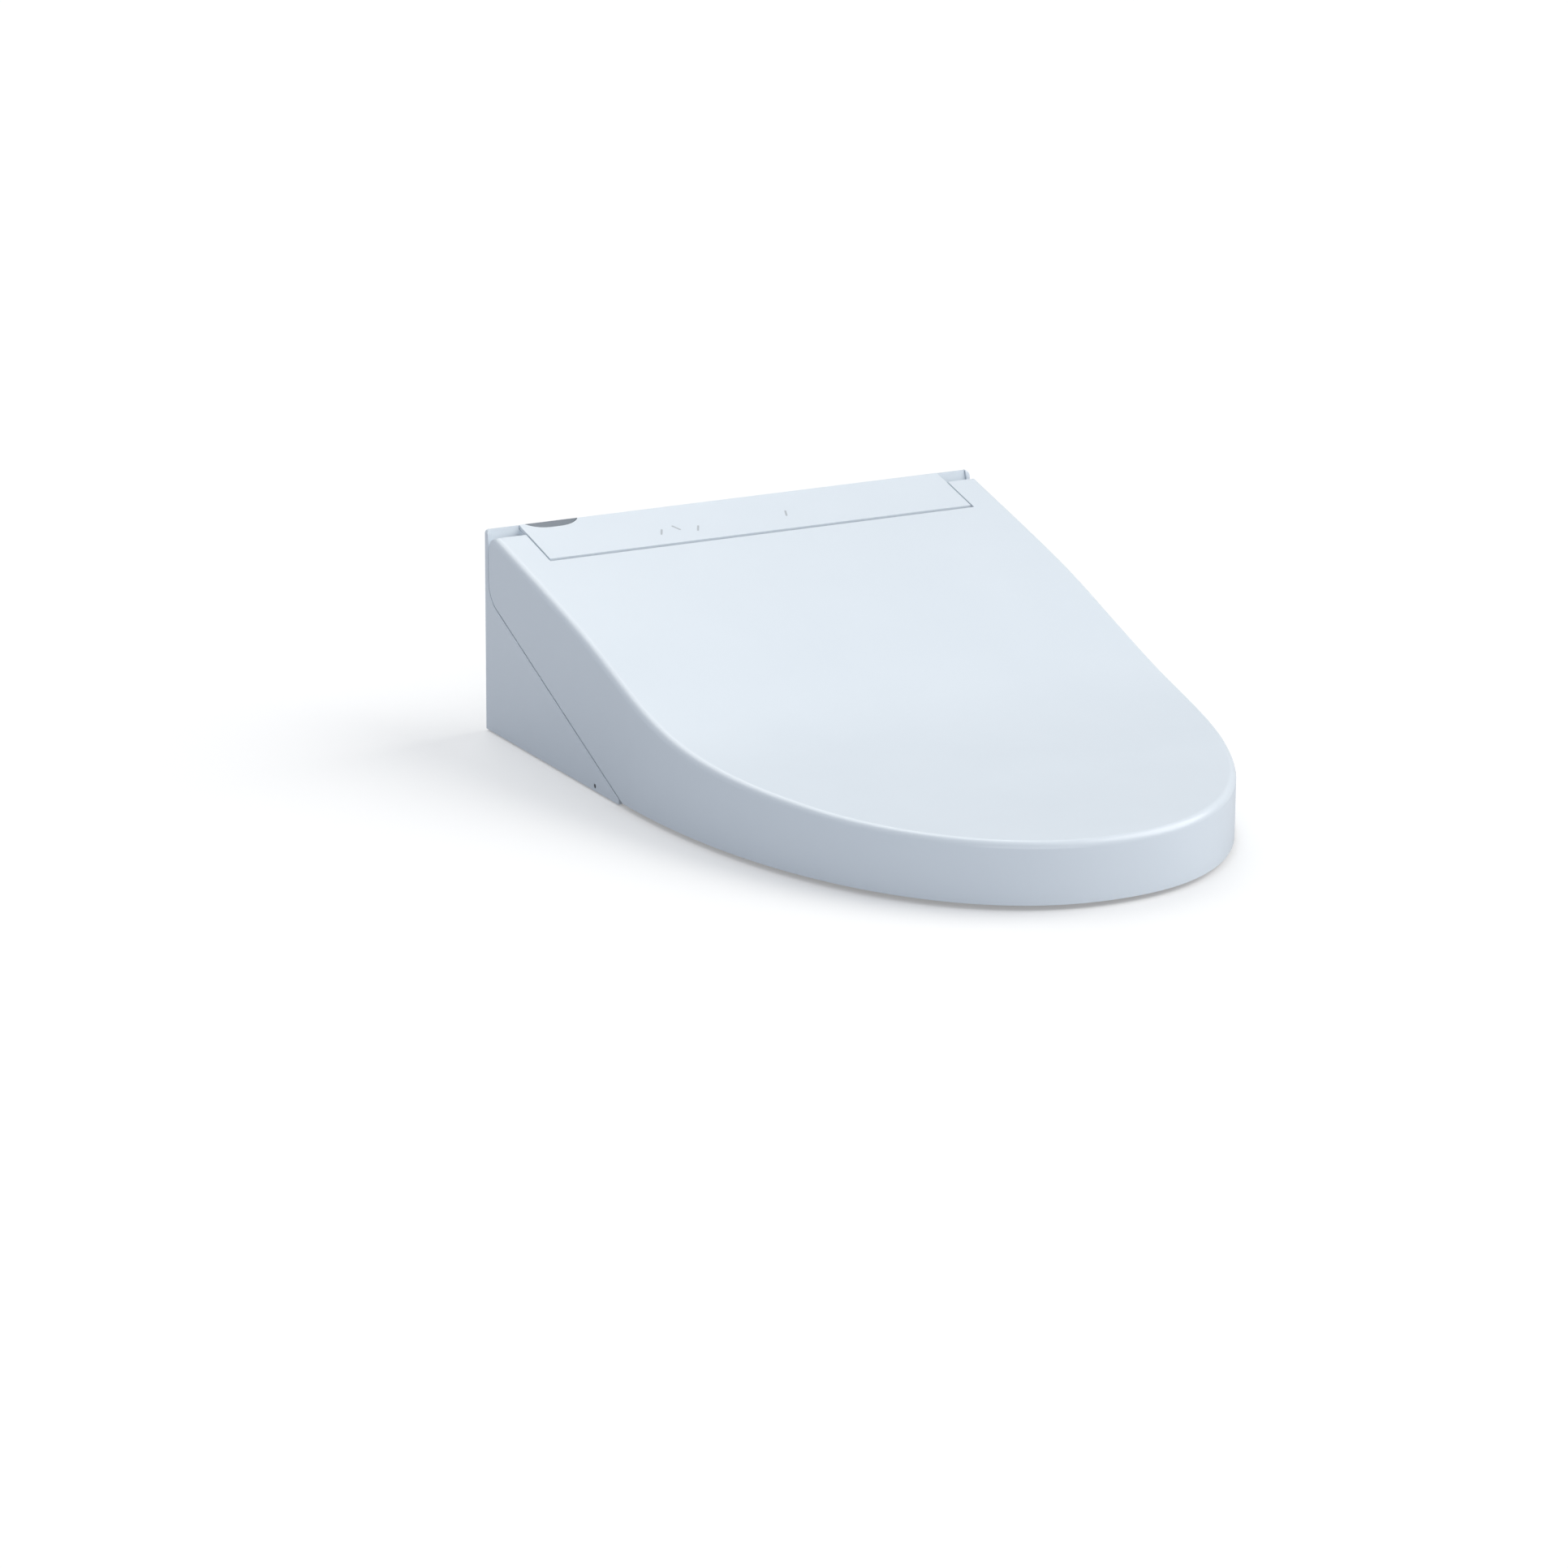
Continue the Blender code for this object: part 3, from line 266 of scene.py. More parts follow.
def dress(body, look, slot, rides, *nodes, width=0.4, segments=3):
    """Finish a piece: round edges, shading, material, the body it rides on and what it replaces."""
    if width:
        soften(body, width, segments)
    body.data.materials.clear()
    body.data.materials.append(look)
    for polygon in body.data.polygons:
        polygon.use_smooth = True
    body.data.set_sharp_from_angle(angle=math.radians(40.0))
    normals = body.modifiers.new("flat_faces", "WEIGHTED_NORMAL")
    normals.keep_sharp = True
    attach(body, rides)
    if nodes:
        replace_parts(body, *nodes)
    return body


def dress_white(body, rides, *nodes, **edges):
    return dress(body, LOOKS["white_plastic"], "white_plastic", rides, *nodes, **edges)


# ---------------------------------------------------------------- materials
def shader_tree(name):
    made = bpy.data.materials.new(name)
    made.use_nodes = True
    tree = made.node_tree
    return made, tree, tree.nodes["Principled BSDF"]


def noise(tree, scale, detail=3.0, stretch=(1.0, 1.0, 1.0), rough=0.5):
    """Noise in the object's own coordinates, which are metres in the CAD frame."""
    place_node = tree.nodes.new("ShaderNodeTexCoord")
    mapping = tree.nodes.new("ShaderNodeMapping")
    mapping.inputs["Scale"].default_value = stretch
    texture = tree.nodes.new("ShaderNodeTexNoise")
    texture.inputs["Scale"].default_value = scale
    texture.inputs["Detail"].default_value = detail
    texture.inputs["Roughness"].default_value = rough
    tree.links.new(place_node.outputs["Object"], mapping.inputs["Vector"])
    tree.links.new(mapping.outputs["Vector"], texture.inputs["Vector"])
    return texture.outputs["Fac"]


def ranged(tree, value, low, high, start=0.3, stop=0.7):
    """A value between start and stop turned into one between low and high."""
    node = tree.nodes.new("ShaderNodeMapRange")
    node.inputs["From Min"].default_value = start
    node.inputs["From Max"].default_value = stop
    node.inputs["To Min"].default_value = low
    node.inputs["To Max"].default_value = high
    tree.links.new(value, node.inputs["Value"])
    return node.outputs["Result"]


def mixed(tree, value, first, second):
    """Two colours mixed by a value; each is a colour or another mix."""
    node = tree.nodes.new("ShaderNodeMix")
    node.data_type = "RGBA"
    tree.links.new(value, node.inputs[0])
    for socket, colour in ((node.inputs[6], first), (node.inputs[7], second)):
        if isinstance(colour, tuple):
            socket.default_value = (*colour, 1.0)
        else:
            tree.links.new(colour, socket)
    return node.outputs[2]


def bumped(tree, shader, value, distance, strength=1.0):
    node = tree.nodes.new("ShaderNodeBump")
    node.inputs["Strength"].default_value = strength
    node.inputs["Distance"].default_value = distance
    tree.links.new(value, node.inputs["Height"])
    tree.links.new(node.outputs["Normal"], shader.inputs["Normal"])
    return node


def moulded(name, first, second, rough, grain, depth, coat=0.0):
    """Moulded material: two close tints in soft clouds, uneven gloss and a fine surface ripple."""
    made, tree, shader = shader_tree(name)
    cloud = noise(tree, 14.0, 2.0)
    colour = mixed(tree, ranged(tree, cloud, 0.0, 1.0), first, second)
    tree.links.new(colour, shader.inputs["Base Color"])
    gloss = noise(tree, 75.0, 4.0)
    tree.links.new(ranged(tree, gloss, rough[0], rough[1]), shader.inputs["Roughness"])
    bumped(tree, shader, noise(tree, grain), depth)
    shader.inputs["Coat Weight"].default_value = coat
    shader.inputs["Coat Roughness"].default_value = 0.06
    shader.inputs["IOR"].default_value = 1.49
    return made


def brushed(name, first, second, stretch):
    """Metal with fine lines along one direction."""
    made, tree, shader = shader_tree(name)
    lines = noise(tree, 900.0, 4.0, stretch, 0.7)
    colour = mixed(tree, ranged(tree, lines, 0.0, 1.0), first, second)
    tree.links.new(colour, shader.inputs["Base Color"])
    tree.links.new(ranged(tree, lines, 0.24, 0.42), shader.inputs["Roughness"])
    bumped(tree, shader, lines, 0.00002, 0.6)
    shader.inputs["Metallic"].default_value = 1.0
    return made


def board_look():
    """A lacquered board: green with paler tracks and small solder dots."""
    made, tree, shader = shader_tree("board_green")
    spot = tree.nodes.new("ShaderNodeTexCoord")
    tracks = tree.nodes.new("ShaderNodeTexBrick")
    tracks.inputs["Scale"].default_value = 140.0
    tracks.inputs["Mortar Size"].default_value = 0.03
    tracks.inputs["Color1"].default_value = (0.02, 0.13, 0.06, 1)
    tracks.inputs["Color2"].default_value = (0.025, 0.16, 0.07, 1)
    tracks.inputs["Mortar"].default_value = (0.10, 0.32, 0.14, 1)
    dots = tree.nodes.new("ShaderNodeTexVoronoi")
    dots.inputs["Scale"].default_value = 260.0
    for node in (tracks, dots):
        tree.links.new(spot.outputs["Object"], node.inputs["Vector"])
    solder = ranged(tree, dots.outputs["Distance"], 1.0, 0.0, 0.10, 0.16)
    colour = mixed(tree, solder, tracks.outputs["Color"], (0.55, 0.56, 0.55))
    tree.links.new(colour, shader.inputs["Base Color"])
    tree.links.new(ranged(tree, noise(tree, 120.0), 0.25, 0.45), shader.inputs["Roughness"])
    bumped(tree, shader, solder, 0.00015)
    return made


def carbon_look():
    """Pressed carbon granules."""
    made, tree, shader = shader_tree("carbon_granules")
    spot = tree.nodes.new("ShaderNodeTexCoord")
    cells = tree.nodes.new("ShaderNodeTexVoronoi")
    cells.inputs["Scale"].default_value = 480.0
    tree.links.new(spot.outputs["Object"], cells.inputs["Vector"])
    depth = ranged(tree, cells.outputs["Distance"], 0.0, 1.0, 0.0, 0.6)
    colour = mixed(tree, depth, (0.07, 0.07, 0.072), (0.01, 0.01, 0.01))
    tree.links.new(colour, shader.inputs["Base Color"])
    tree.links.new(ranged(tree, noise(tree, 300.0), 0.7, 0.95), shader.inputs["Roughness"])
    bumped(tree, shader, cells.outputs["Distance"], 0.0006)
    return made


def foil_look():
    """Aluminium foil with the heating wire's wavy track pressed into it."""
    made, tree, shader = shader_tree("foil_pressed")
    spot = tree.nodes.new("ShaderNodeTexCoord")
    wire = tree.nodes.new("ShaderNodeTexWave")
    wire.inputs["Scale"].default_value = 42.0
    wire.inputs["Distortion"].default_value = 5.0
    wire.inputs["Detail"].default_value = 1.0
    tree.links.new(spot.outputs["Object"], wire.inputs["Vector"])
    track = ranged(tree, wire.outputs["Fac"], 0.0, 1.0, 0.80, 0.95)
    tree.links.new(mixed(tree, track, (0.66, 0.67, 0.69), (0.36, 0.36, 0.38)), shader.inputs["Base Color"])
    tree.links.new(ranged(tree, noise(tree, 160.0), 0.22, 0.5), shader.inputs["Roughness"])
    bumped(tree, shader, track, 0.0003)
    shader.inputs["Metallic"].default_value = 1.0
    return made


# name: two close tints, lowest and highest roughness, scale of the ripple and its depth, clear coat
MOULDED = {
    "white_plastic": ((0.735, 0.797, 0.853), (0.748, 0.809, 0.864), (0.25, 0.27), 90.0, 0.000002, 0.12),
    "inner_white": ((0.700, 0.750, 0.800), (0.735, 0.780, 0.825), (0.30, 0.42), 900.0, 0.00004),
    "panel_print": ((0.430, 0.465, 0.500), (0.470, 0.505, 0.540), (0.30, 0.42), 900.0, 0.00004),
    "grey_plastic": ((0.26, 0.27, 0.29), (0.33, 0.34, 0.36), (0.42, 0.6), 1500.0, 0.00012),
    "dark_plastic": ((0.035, 0.036, 0.04), (0.06, 0.06, 0.066), (0.35, 0.55), 1500.0, 0.00010),
    "smoked_window": ((0.175, 0.205, 0.235), (0.205, 0.235, 0.265), (0.08, 0.16), 200.0, 0.00001, 0.8),
    "rubber": ((0.50, 0.51, 0.52), (0.58, 0.59, 0.60), (0.68, 0.88), 1900.0, 0.00015),
}
LOOKS = {name: moulded(f"moulded_{name}", *look) for name, look in MOULDED.items()}
LOOKS["steel"] = brushed("steel_brushed", (0.56, 0.56, 0.57), (0.70, 0.70, 0.71), (1.0, 0.06, 0.06))
LOOKS["heater_foil"] = foil_look()
LOOKS["circuit_board"] = board_look()
LOOKS["carbon"] = carbon_look()


# ---------------------------------------------------------------- shared outlines
def smooth_curve(points, x):
    """A smooth curve through a few points, with slopes taken from the neighbours."""
    last = len(points) - 1
    slopes = []
    for i in range(len(points)):
        (xa, ya), (xb, yb) = points[max(i - 1, 0)], points[min(i + 1, last)]
        slopes.append((yb - ya) / (xb - xa))
    i = 0
    while i < last - 1 and x > points[i + 1][0]:
        i += 1
    (xa, ya), (xb, yb) = points[i], points[i + 1]
    span = xb - xa
    t = min(max((x - xa) / span, 0.0), 1.0)
    start = (1 + 2 * t) * (1 - t) ** 2 * ya + t * (1 - t) ** 2 * span * slopes[i]
    end = t * t * (3 - 2 * t) * yb + t * t * (t - 1) * span * slopes[i + 1]
    return start + end


def lid_top(y):
    return smooth_curve(TOP_LINE, y)


def blend(x, start, length):
    t = min(max((x - start) / length, 0.0), 1.0)
    return t * t * (3 - 2 * t)


def half_outline(inset, rear, count, sides):
    """The right half of the plan: a superellipse quarter from the tip, then a straight side."""
    half = HALF_WIDTH - inset
    long = STRAIGHT_Y - TIP_Y - inset
    points = []
    for i in range(count + 1):
        t = QUARTER * i / count
        x = half * math.sin(t) ** (2 / OUTLINE_POWER)
        y = STRAIGHT_Y - long * math.cos(t) ** (2 / OUTLINE_POWER)
        points.append((x, y))
    for i in range(1, sides + 1):
        points.append((half, STRAIGHT_Y + (rear - STRAIGHT_Y) * i / sides))
    return points


def seam_z(y, offset=0.0):
    return SEAM_Z + SEAM_SLOPE * (y - SEAM_Y) + offset * math.hypot(1, SEAM_SLOPE)


def back_edge(offset):
    """The lid's back edge (y, z), from the diagonal up to the top of the round end."""
    radius = EAR_RADIUS + offset
    slope = math.atan(SEAM_SLOPE)
    fillet = SEAM_FILLET + offset
    centre_y = HINGE_Y + radius - fillet
    centre_z = seam_z(centre_y, -offset) + fillet / math.cos(slope)
    points = circle(centre_y, centre_z, fillet, 14, slope - QUARTER, QUARTER - slope)
    return points + circle(HINGE_Y, HINGE_Z, radius, 16, 0.0, math.radians(75))


# ---------------------------------------------------------------- lid
def lid_body(name, inset, drop, bottom, rear, fillet):
    """The lid's full volume: flat underside, upright skirt and a top that follows the top line."""
    count, sides, steps = 60, 22, 8
    half = half_outline(inset, rear, count, sides)
    rings = [[(x, y, bottom) for x, y in half]]
    for k in range(steps + 1):
        angle = QUARTER * k / steps
        inward = half_outline(inset + fillet * (1 - math.cos(angle)), rear, count, sides)
        fall = drop + fillet * (1 - math.sin(angle))
        rings.append([(x, y, lid_top(y) - fall) for x, y in inward])
    bm = bmesh.new()
    rows = []
    for ring in rings:
        right = [bm.verts.new(Vector(p) * MM) for p in ring]
        left = [bm.verts.new(Vector((-x, y, z)) * MM) for x, y, z in ring[1:]]
        rows.append((right, [right[0]] + left))
    for (low_r, low_l), (high_r, high_l) in zip(rows, rows[1:]):
        for i in range(len(half) - 1):
            bm.faces.new((low_r[i], low_r[i + 1], high_r[i + 1], high_r[i]))
            bm.faces.new((low_l[i + 1], low_l[i], high_l[i], high_l[i + 1]))
    for side_r, side_l in (rows[0], rows[-1]):
        bm.faces.new((side_r[0], side_r[1], side_l[1]))
        for i in range(1, len(half) - 1):
            bm.faces.new((side_r[i], side_r[i + 1], side_l[i + 1], side_l[i]))
    bm.faces.new([row[0][-1] for row in rows] + [row[1][-1] for row in reversed(rows)])
    return new_object(name, bm)


def below_seam(offset, low):
    """Everything under the diagonal and behind the lid's back edge, as a closed (y, z) outline."""
    foot_y = SEAM_Y + (LID_BOTTOM - seam_z(SEAM_Y, -offset)) / SEAM_SLOPE
    rear, top = REAR_Y + 20, HINGE_Z + 60
    points = [(foot_y, low), (foot_y, LID_BOTTOM)] + back_edge(offset)
    return points + [(HINGE_Y + 2, top), (rear, top), (rear, low)]


def ear_outline(inner):
    """The lid's round back end; with an inner radius, only the back wall behind the hinge eye."""
    radius = EAR_RADIUS - 0.1
    under = radius - 1.5
    if inner == 0.0:
        back = circle(HINGE_Y, HINGE_Z, radius, 16, math.radians(-25), math.radians(83))
        return back + circle(HINGE_Y, HINGE_Z, under, 28, math.radians(78), math.radians(250))
    back = circle(HINGE_Y, HINGE_Z, radius, 6, math.radians(36), math.radians(22))
    top = circle(HINGE_Y, HINGE_Z, under, 3, math.radians(78), math.radians(12))
    inside = circle(HINGE_Y, HINGE_Z, inner, 10, math.radians(90), math.radians(-54))
    return back + top + inside


def make_lid():
    lid = lid_body("lid_shell", 0.0, 0.0, LID_BOTTOM, REAR_Y, LID_FILLET)
    cut(lid, lid_body("lid_inside", LID_WALL, LID_WALL, LID_BOTTOM - 20, REAR_Y + 20, LID_FILLET - 2))
    ears = prism("lid_ears", "X", ear_outline(0.0), LID_EAR_INNER, HALF_WIDTH - 0.05, both=True)
    combine(ears, lid_body("ear_limit", 0.05, 0.05, LID_BOTTOM, REAR_Y, LID_FILLET), "INTERSECT")
    join(lid, baked(ears))
    span = (PANEL_HALF + 1.3, LID_EAR_INNER + 0.5)
    join(lid, prism("lid_back_walls", "X", ear_outline(9.3), *span, both=True))
    cut(lid, prism("lid_back_cut", "X", below_seam(0.0, -40), -220, 220))
    side = PANEL_HALF + 1.3
    cut(lid, box("lid_notch", -side, side, PANEL_FRONT - PANEL_GAP, 120, 90, 200))
    span = (LID_EAR_INNER - 2, HALF_WIDTH - 3.5)
    cut(lid, cylinder("lid_pin_holes", "X", HINGE_Y, HINGE_Z, PIN_RADIUS + GAP, *span, both=True))
    dress_white(baked(lid), "lid", "lid", width=0.7, segments=3)


# ---------------------------------------------------------------- seat ring
def ring_top(y):
    return RING_TOP_FRONT + (RING_TOP_REAR - RING_TOP_FRONT) * blend(y, -330, 190)


def ring_bottom(y):
    return 5.0 + 23.0 * blend(y, -205, 30)


def ring_split(y):
    return ring_bottom(y) + 6.0


def ring_outline():
    half = half_outline(RING_INSET, RING_REAR - 16, 54, 1)
    side = HALF_WIDTH - RING_INSET
    corner = 14.0
    half += circle(side - corner, RING_REAR - corner, corner, 10, 0.0, QUARTER)
    half += [(side - corner - 16 * k, RING_REAR) for k in range(1, 11)]
    return half + [(-x, y) for x, y in reversed(half[1:])]


def hole_point(x, y):
    """The point of the egg-shaped opening that lies in the same direction as (x, y)."""
    angle = math.atan2(y - HOLE_CENTRE_Y, x)
    length = HOLE_REAR if math.sin(angle) > 0 else HOLE_FRONT
    radius = 1 / math.hypot(math.cos(angle) / HOLE_HALF, math.sin(angle) / length)
    return radius * math.cos(angle), HOLE_CENTRE_Y + radius * math.sin(angle)


def ring_loft(name, section):
    """Sweep a closed section round the ring. Section points: (share of the way to the opening,
    height function of y)."""
    bm = bmesh.new()
    loops = []
    for x, y in ring_outline():
        hx, hy = hole_point(x, y)
        loop = []
        for share, height in section:
            px, py = x + (hx - x) * share, y + (hy - y) * share
            loop.append(bm.verts.new(Vector((px, py, height(py))) * MM))
        loops.append(loop)
    count = len(section)
    for a, b in zip(loops, loops[1:] + loops[:1]):
        for i in range(count):
            j = (i + 1) % count
            bm.faces.new((a[i], a[j], b[j], b[i]))
    return new_object(name, bm)


def below_top(distance):
    return lambda y: ring_top(y) - distance


def above_split(distance):
    return lambda y: ring_split(y) + distance


def crown(points, drop, steps):
    """The seat's crowned top: (share, drop) points joined by a smooth curve."""
    made = []
    last = len(points) - 1
    for i in range(last):
        a, b = points[max(i - 1, 0)], points[i]
        c, d = points[i + 1], points[min(i + 2, last)]
        for k in range(steps):
            t = k / steps
            value = []
            for n in range(2):
                pull = (2 * b[n] - 2 * c[n] + (c[n] - a[n]) / 2 + (d[n] - b[n]) / 2) * t**3
                bend = (3 * c[n] - 3 * b[n] - (c[n] - a[n]) - (d[n] - b[n]) / 2) * t**2
                value.append(b[n] + (c[n] - a[n]) / 2 * t + bend + pull)
            made.append((value[0], value[1] + drop))
    return made + [(points[-1][0], points[-1][1] + drop)]


def arm_outline():
    """The hinge arm (y, z), ending round the hinge pin."""
    start = RING_REAR - 31
    stations = [start + (HINGE_Y - 16 - start) * i / 24 for i in range(25)]
    lower = [(y, max(seam_z(y, 1.6), ring_split(y) + 2.2)) for y in stations]
    upper = [(y, min(lid_top(y) - LID_WALL - 2.0, seam_z(y, 22) + 10)) for y in stations]
    upper[0] = (start, ring_top(start) - 1.7)
    end = circle(HINGE_Y, HINGE_Z, 7.4, 18, math.radians(-60), math.radians(155))
    return lower + end + list(reversed(upper))


def make_seat():
    rise = [(0.0, 8.0), (0.004, 5.4), (0.018, 3.1), (0.045, 1.3), (0.10, 0.15), (0.24, 0.0)]
    fall = [(0.50, 0.25), (0.74, 1.1), (0.86, 2.6), (0.94, 5.2), (0.985, 8.2), (1.0, 11.5)]
    outside = crown(rise + fall, 0.0, 3)
    inside = [(0.95, 12.0), (0.88, 8.9), (0.74, 4.8), (0.30, 3.6), (0.13, 3.7), (0.05, 8.9)]
    section = [(0.0, above_split(0.6))] + [(s, below_top(d)) for s, d in outside]
    section += [(1.0, above_split(0.6)), (0.95, above_split(0.6))]
    section += [(s, below_top(d)) for s, d in inside] + [(0.05, above_split(0.6))]
    shell = ring_loft("seat_ring_top", section)
    join(shell, prism("seat_arms", "X", arm_outline(), ARM_INNER, ARM_OUTER, both=True))
    span = (ARM_INNER - 2, ARM_OUTER + 2)
    cut(shell, cylinder("seat_pin_holes", "X", HINGE_Y, HINGE_Z, PIN_RADIUS + GAP, *span, both=True))
    dress_white(baked(shell), "seat", "seat_upper_shell", width=0.5, segments=2)
    shares = [0.0, 0.02, 0.05] + [k / 20 for k in range(2, 20)] + [0.98, 1.0]
    lower = [(share, ring_bottom) for share in shares]
    lower += [(share, ring_split) for share in reversed(shares)]
    base = ring_loft("seat_ring_base", lower)
    dress(base, LOOKS["inner_white"], "white_plastic", "seat", "seat_lower_shell", width=1.6, segments=4)


# ---------------------------------------------------------------- main unit: cases and covers
def panel_top(y):
    return PANEL_Z + PANEL_SLOPE * (y - PANEL_FRONT)


def strip_top():
    """The level top of the strip behind the lid."""
    return panel_top(REAR_Y) - 0.7


def hump_outline(inset):
    """Side view of the raised middle of the unit."""
    under_lid = LID_WALL + 3.5 + inset
    shelf = PANEL_THICK + GAP + inset
    front = UNIT_FRONT + inset
    brow_y = -92.0 + inset
    stations = [brow_y + (PANEL_FRONT - 6 - brow_y) * i / 14 for i in range(15)]
    points = [(front, -5), (front, CASE_SPLIT + 4)] + [(y, lid_top(y) - under_lid) for y in stations]
    points += [(PANEL_FRONT + 0.6 + inset, lid_top(PANEL_FRONT - 6) - under_lid)]
    points += [(PANEL_FRONT + 0.6 + inset, panel_top(PANEL_FRONT) - shelf)]
    points += [(REAR_Y - inset - 0.3, panel_top(REAR_Y) - shelf), (REAR_Y - inset - 0.3, -5)]
    return points


def shoulder_outline(offset, front, rear, low, *crest):
    """Side view of the full-width part: everything under the diagonal seam, and the strip behind
    the lid's round end. Its level top starts at the last point (y, z) of the crest."""
    curve = [p for p in back_edge(offset) if p[1] < HINGE_Z + 5]
    points = [(front, low), (front, seam_z(front, -offset))] + curve + list(crest)
    return points + [(rear, crest[-1][1]), (rear, low)]


def round_shoulders(body):
    """Round the strip's outer top corners, as seen from behind."""
    side, top, r = COVER_FACE, strip_top(), SHOULDER_RADIUS
    corner = circle(side - r, top - r, r, 14, 0.0, QUARTER)
    corner = [(side + 5, top - r)] + corner + [(side - r, top + 5), (side + 5, top + 5)]
    for sign in (-1, 1):
        outline = [(sign * x, z) for x, z in corner]
        cut(body, prism(f"{body.name}_round_{sign}", "Y", outline, HINGE_Y + 10, REAR_Y + 5))
    return body


def case_volume(name, inset):
    """The case's outer volume, or the hollow inside its wall."""
    half, wide = CHEEK_HALF - inset, UNIT_HALF - inset
    offset, rear = (SEAM_GAP if inset == 0.0 else 0.9 + inset), REAR_Y - 0.3 - inset
    crest = (rear - 1.5, panel_top(REAR_Y) - 0.9) if inset == 0.0 else (rear - 0.2, HINGE_Z + 3)
    side = shoulder_outline(offset, UNIT_FRONT + inset, rear, -5, crest)
    body = prism(name, "X", side, -wide, wide)
    return join(body, prism(f"{name}_hump", "X", hump_outline(inset), -half, half))


def make_upper_case():
    case = case_volume("unit_case_top", 0.0)
    cut(case, case_volume("unit_case_top_inside", CASE_WALL))
    cut(case, box("upper_case_trim", -250, 250, -200, 200, -50, CASE_SPLIT))
    for k, (x, y) in enumerate(BOARD_POSTS):
        join(case, cylinder(f"board_post_{k}", "Z", x, y, 3.5, BOARD_Z + 1.9, panel_top(y) - 4, 20))
    y0, y1, under = PANEL_FRONT - 2, REAR_Y + 20, PANEL_THICK + GAP
    bay = [(y0, panel_top(y0) - under), (y1, panel_top(y1) - under), (y1, 200), (y0, 200)]
    cut(case, prism("upper_panel_bay", "X", bay, -PANEL_HALF - 0.5, PANEL_HALF + 0.5))
    for side in (-1, 1):
        for y in SCREW_Y:
            name, top = f"upper_post_{side}_{y:.0f}", seam_z(y - POST_RADIUS, -SEAM_GAP - 0.8)
            join(case, cylinder(name, "Z", side * SCREW_X, y, POST_RADIUS, 12.0, top, 24))
    join(case, cylinder("upper_bosses", "X", HINGE_Y, HINGE_Z, 6.2, 161.0, CHEEK_HALF - 0.4, 32, both=True))
    span = (150.0, CHEEK_HALF + 2)
    cut(case, cylinder("upper_pin_holes", "X", HINGE_Y, HINGE_Z, PIN_RADIUS + GAP, *span, 32, both=True))
    for side in (-1, 1):
        for y in SCREW_Y:
            cut(case, cylinder(f"upper_screw_{side}_{y:.0f}", "Z", side * SCREW_X, y, 1.9, 0, 48, 16))
    round_shoulders(case)
    dress_white(baked(case), "unit", "upper_case", width=0.9, segments=3)


def make_lower_case():
    outer = case_volume("unit_case_base", 0.0)
    cut(outer, case_volume("unit_case_base_inside", CASE_WALL))
    side, y0, y1 = UNIT_HALF - 1, UNIT_FRONT + 1, REAR_Y - 1.5
    join(outer, box("lower_floor", -side, side, y0, y1, FLOOR_Z, FLOOR_Z + CASE_WALL))
    cut(outer, box("lower_trim_top", -250, 250, -200, 200, CASE_SPLIT - GAP, 300))
    cut(outer, box("lower_trim_bottom", -250, 250, -200, 200, -50, 0.8))
    cut(outer, box("lower_plate_bay", -PLATE_HALF - 1, PLATE_HALF + 1, 40, 100, -10, FLOOR_Z))
    cut(outer, box("lower_wand_window", -24, 24, UNIT_FRONT - 5, -100, -10, 27))
    cut(outer, box("lower_wand_floor", -14, 14, -110, -94, -10, 20))
    cut(outer, box("lower_air_window", *AIR_X, UNIT_FRONT - 5, -117, 8.4, 27))
    for side in (-1, 1):
        for y in SCREW_Y:
            cut(outer, cylinder(f"lower_screw_{side}_{y:.0f}", "Z", side * SCREW_X, y, 2.4, 0, 11, 16))
    cut(outer, cylinder("lower_inlet_hole", "Y", INLET_X, INLET_Z, 11.0, 50, 80))
    cut(outer, cylinder("lower_gland_hole", "Y", GLAND_X, GLAND_Z, 7.3, 50, 80))
    cut(outer, cylinder("lower_drain_hole", "Z", DRAIN_X, DRAIN_Y, 6.3, -5, 12))
    cut(outer, cylinder("lower_button_hole", "X", BUTTON_Y, BUTTON_Z, BUTTON_HOLE_RADIUS, 180, 200))
    dress_white(baked(outer), "unit", "lower_case", width=0.6, segments=2)


def make_covers():
    """Side covers with well rounded edges, and a small round hole near the seam's foot with a dark disc set
    in it as painted shade.
    """
    top, wall = strip_top(), HINGE_Y + EAR_RADIUS + SEAM_GAP - 0.3
    outline = shoulder_outline(SEAM_GAP, STRAIGHT_Y + 8, REAR_Y, 0.5, (wall, top - 3.5), (REAR_Y - 2.8, top))
    for side, word in ((-1, "left"), (1, "right")):
        span = sorted((side * (UNIT_HALF + GAP), side * COVER_FACE))
        cover = baked(round_shoulders(prism(f"side_panel_{word}", "X", outline, *span)))
        soften(cover, 1.3, 4)
        if side > 0:
            cut(cover, cylinder("cover_button_hole", "X", BUTTON_Y, BUTTON_Z, BUTTON_HOLE_RADIUS, 180, 200))
        span = sorted((side * (COVER_FACE - 1.6), side * (COVER_FACE + 5)))
        hole = cylinder(f"pin_hole_{word}", "X", COVER_HOLE_Y, COVER_HOLE_Z, COVER_SHADE_DISC_RADIUS + 0.1, *span, 24)
        cut(cover, hole)
        dress_white(baked(cover), "unit", f"side_cover_{word}", width=0.12, segments=2)
        # The dark disc inside the small hole is painted shade: it stands for the shade in the hole, not for
        # a part of its own.
        span = sorted((side * (COVER_FACE - 1.6), side * (COVER_FACE - 0.25)))
        plug = cylinder(f"cover_pin_{word}", "X", COVER_HOLE_Y, COVER_HOLE_Z, COVER_SHADE_DISC_RADIUS, *span, 24)
        dress(plug, LOOKS["dark_plastic"], "dark_plastic", "unit", width=0.12)


